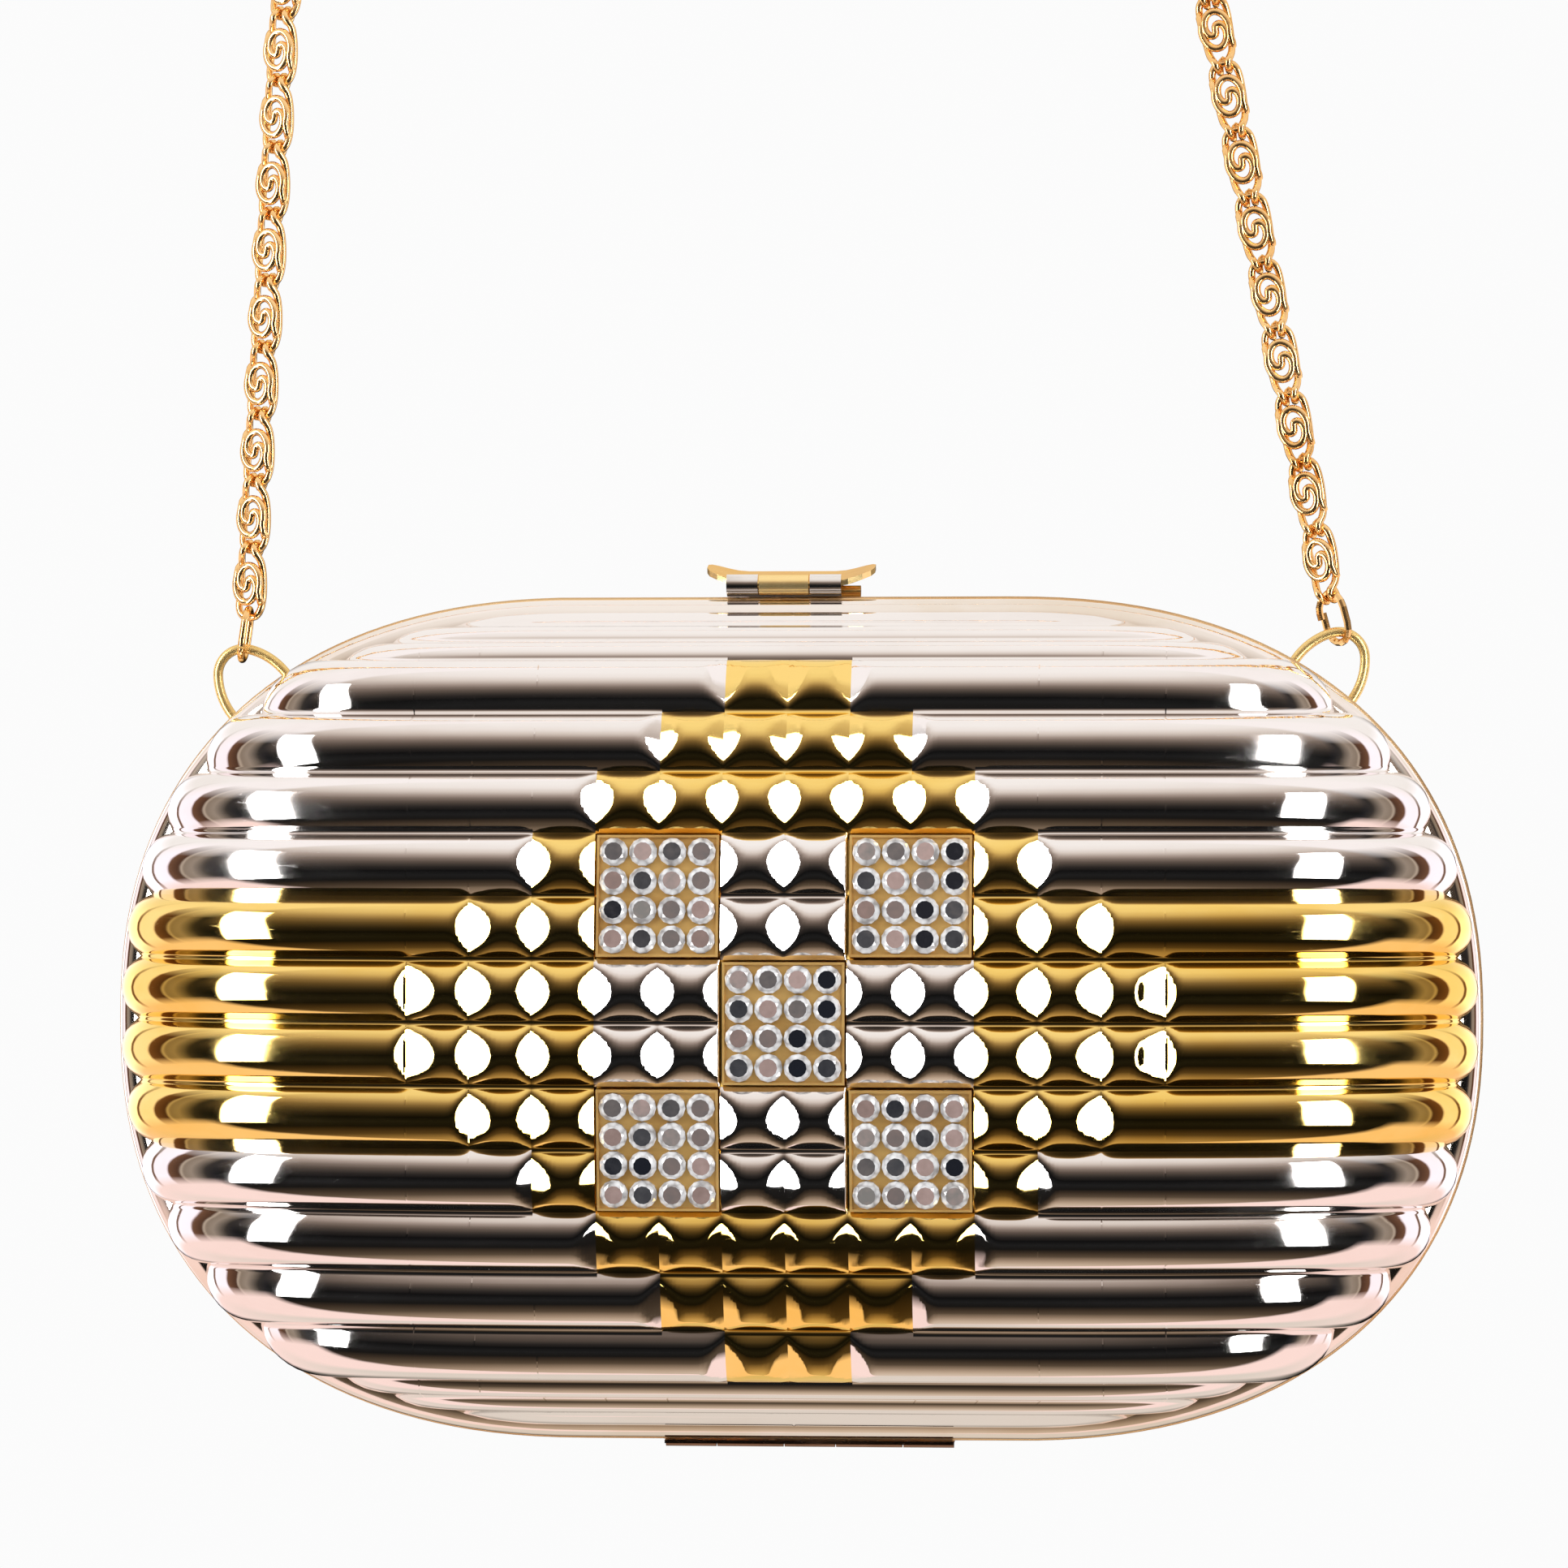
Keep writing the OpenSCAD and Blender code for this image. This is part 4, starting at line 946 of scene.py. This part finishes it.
# %% The line that the chain follows
chain_wire, hook_play, link_half_w = 0.9, 0.12, 1.85
crown_z, crown_r, chain_pitch = 170.0, 45.0, 8.4
lean_left, lean_right = math.radians(3.3), math.radians(11.2)
twist_left, twist_right, twist_last = -24.0, 8.0, 30.0
d_height, d_top_r, d_wire = 6.3, 3.2, 1.2
split_wire, split_h, split_play = 0.9, 6.3, 0.3
seat_heights = {-1: 40.0, 1: 41.7}
split_leans = {-1: math.radians(8.0), 1: math.radians(-14.7)}


def rim_facing(z):
    """Direction that the rim faces at the height z, on the right."""
    reach = (1 - (z / case_half_h) ** end_power) ** (1 / end_power)
    v = np.array([reach ** (end_power - 1) / (case_half_w - straight_half),
                  (z / case_half_h) ** (end_power - 1) / case_half_h])
    return straight_half + (case_half_w - straight_half) * reach, v / np.linalg.norm(v)


def split_ring_top(side):
    """Middle of a split ring's highest wire, across and up."""
    z = seat_heights[side]
    reach, n = rim_facing(z)
    leg = d_height - d_top_r
    top = np.array([side * (reach + leg * n[0]), z + leg * n[1] + d_top_r])
    rise = split_h - (d_wire + split_wire) / 2 - split_play
    return top + rise * np.array([math.sin(split_leans[side]), math.cos(split_leans[side])])


chain_start = split_ring_top(-1) - (0, (split_wire + chain_wire) / 2 + hook_play)
chain_end = split_ring_top(1)
bend_z = crown_z - crown_r
left_top = bend_z + crown_r * math.sin(lean_left)
right_top = bend_z + crown_r * math.sin(lean_right)
left_bend = (chain_start[0] + (left_top - chain_start[1]) * math.tan(lean_left)
             + crown_r * math.cos(lean_left))
right_bend = (chain_end[0] - (right_top - chain_end[1]) * math.tan(lean_right)
              - crown_r * math.cos(lean_right))
stretches = [
    (left_top - chain_start[1]) / math.cos(lean_left),
    crown_r * (math.pi / 2 - lean_left),
    right_bend - left_bend,
    crown_r * (math.pi / 2 - lean_right),
    (right_top - chain_end[1]) / math.cos(lean_right),
]
chain_length = sum(stretches)
link_count = math.ceil(chain_length / chain_pitch)
link_step = chain_length / link_count


def chain_at(s):
    """Point of the chain's line at the distance s from its start, across and up."""
    second, third, fourth = s - stretches[0], s - sum(stretches[:2]), s - sum(stretches[:3])
    if second < 0:
        return chain_start + s * np.array([math.sin(lean_left), math.cos(lean_left)])
    if third < 0:
        a = lean_left + second / crown_r
        return np.array([left_bend - crown_r * math.cos(a), bend_z + crown_r * math.sin(a)])
    if fourth < 0:
        return np.array([left_bend + third, crown_z])
    if fourth < stretches[3]:
        a = fourth / crown_r
        return np.array([right_bend + crown_r * math.sin(a), bend_z + crown_r * math.cos(a)])
    return chain_end + (chain_length - s) * np.array([-math.sin(lean_right), math.cos(lean_right)])


print("chain:", round(chain_length, 1), "mm in", link_count, "links of", round(link_step, 2), "mm")

# %% [markdown]
# One link in its own axes: across, backward and along, in shares of its half width and half length.
# The ring is drawn as one half and its mirror image. The scroll is a spiral of two arms, each three
# quarters of a turn, joined through the middle; its outer ends run into the ring's sides. An arm
# widens fast at its core and then keeps nearly the same size, as a wound wire does.

# %% One link's wires
hook_r = chain_wire + hook_play
half_step = link_step / 2
ring_half = [
    (0.50, 0.00, -0.96), (0.84, 0.05, -0.76), (0.92, 0.25, -0.40), (0.88, 0.30, 0.05),
    (0.82, 0.08, 0.46), (0.72, -0.34, 0.74), (0.46, -hook_r, 0.97),
    (0.34, -0.6, 1.15), (0.30, 0.15, 1.24), (0.30, 0.85, 1.08),
]
ring = ([(0.0, 0.0, -1.0)] + [(-a, y, b) for a, y, b in ring_half] + [(0.0, hook_r, 0.86)]
        + ring_half[::-1] + [(0.0, 0.0, -1.0)])
scroll_front, arm_turn, arm_end = -0.80, 285.0, -22.0
scroll_across, scroll_along, scroll_core, scroll_haste = 0.94, 0.56, 0.16, 1.45
scroll_wire = 0.92
scroll_tail = [(0.92, -0.42, -0.46), (0.86, 0.0, -0.56)]


def scroll_arm(flip, count=15):
    """One arm of the scroll from its core outward, clockwise as seen from the front."""
    points = []
    for k in range(count):
        t = k / (count - 1)
        angle = math.radians(arm_end + (1 - t) * arm_turn)
        size = scroll_core + (1 - scroll_core) * math.sin(min(1, scroll_haste * t) * math.pi / 2)
        points.append((flip * scroll_across * size * math.cos(angle), scroll_front,
                       flip * scroll_along * size * math.sin(angle)))
    return points + [(flip * a, y, flip * b) for a, y, b in scroll_tail]


scroll = scroll_arm(1)[::-1] + scroll_arm(-1)
to_mm = np.array((link_half_w, 1.0, half_step))


def smooth_line(points, steps_between=4):
    """Points of a smooth line through the given ones."""
    padded = np.vstack([2 * points[0] - points[1], points, 2 * points[-1] - points[-2]])
    line = []
    for i in range(1, len(padded) - 2):
        p0, p1, p2, p3 = padded[i - 1:i + 3]
        for k in range(steps_between):
            t = k / steps_between
            line.append(0.5 * (2 * p1 + (p2 - p0) * t + (2 * p0 - 5 * p1 + 4 * p2 - p3) * t ** 2
                               + (3 * p1 - p0 - 3 * p2 + p3) * t ** 3))
    line.append(points[-1])
    return np.array(line)


link_ring = smooth_line(np.array(ring) * to_mm, 3)
link_scroll = smooth_line(np.array(scroll) * to_mm, 2)
print("one link's wires have", len(link_ring), "and", len(link_scroll), "points")

# %% [markdown]
# The links are set end to end along the line, each turned a little about its own length, because
# a chain never hangs without a twist. Every strand of the frame's chain becomes two curve objects,
# one of rings and one of scrolls, and the frame's strand is hidden.

# %% Hanging the links
def turned_about(axis, degrees):
    """A turn about the upright axis, z, or the one that points back, y."""
    c, s = math.cos(math.radians(degrees)), math.sin(math.radians(degrees))
    if axis == "z":
        return np.array([[c, -s, 0], [s, c, 0], [0, 0, 1]])
    return np.array([[c, 0, s], [0, 1, 0], [-s, 0, c]])


def link_twist(i):
    """Turn of a link about its own length; the last three turn step by step to meet the ring."""
    along = (i + 0.5) * link_step
    share = min(1, max(0, (along - stretches[0]) / sum(stretches[1:4])))
    last = max(0, i + 4 - link_count) / 3
    return twist_left + (twist_right - twist_left) * share + (twist_last - twist_right) * last


def wire_curve(name, lines, wire, finish):
    """A round wire along each line, in the case's millimetres."""
    curve = bpy.data.curves.new(name, "CURVE")
    curve.dimensions = "3D"
    curve.bevel_depth = wire / 2 / 1000
    curve.bevel_resolution = 3
    curve.use_fill_caps = True
    for line in lines:
        spline = curve.splines.new("POLY")
        spline.points.add(len(line) - 1)
        for point, p in zip(spline.points, on_case(line)):
            point.co = (*p, 1)
        spline.use_smooth = True
    curve.materials.append(finish)
    return into_scene(name, curve)


def links(numbers):
    """The rings and the scrolls of the numbered links, on the chain's line."""
    rings, scrolls = [], []
    for i in numbers:
        a, b = chain_at(i * link_step), chain_at((i + 1) * link_step)
        d, m = b - a, (a + b) / 2
        lean = math.degrees(math.atan2(d[0], d[1]))
        turn = turned_about("y", lean) @ turned_about("z", link_twist(i))
        place = (m[0], ring_back, m[1])
        rings.append(link_ring @ turn.T + place)
        scrolls.append(link_scroll @ turn.T + place)
    return rings, scrolls


left_links = math.floor(stretches[0] / link_step)
right_links = round(stretches[4] / link_step)
strands = {
    "chain_left": range(left_links),
    "chain_crown": range(left_links, link_count - right_links),
    "chain_right": range(link_count - right_links, link_count),
}
for node, numbers in strands.items():
    rings, scrolls = links(numbers)
    strand = wire_curve(f"{node}_rings", rings, chain_wire, chain_gilt)
    front = wire_curve(f"{node}_scrolls", scrolls, scroll_wire, chain_gilt)
    for wires in (strand, front):
        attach(wires, "chain")
    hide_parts(node)
print("links hung:", link_count)
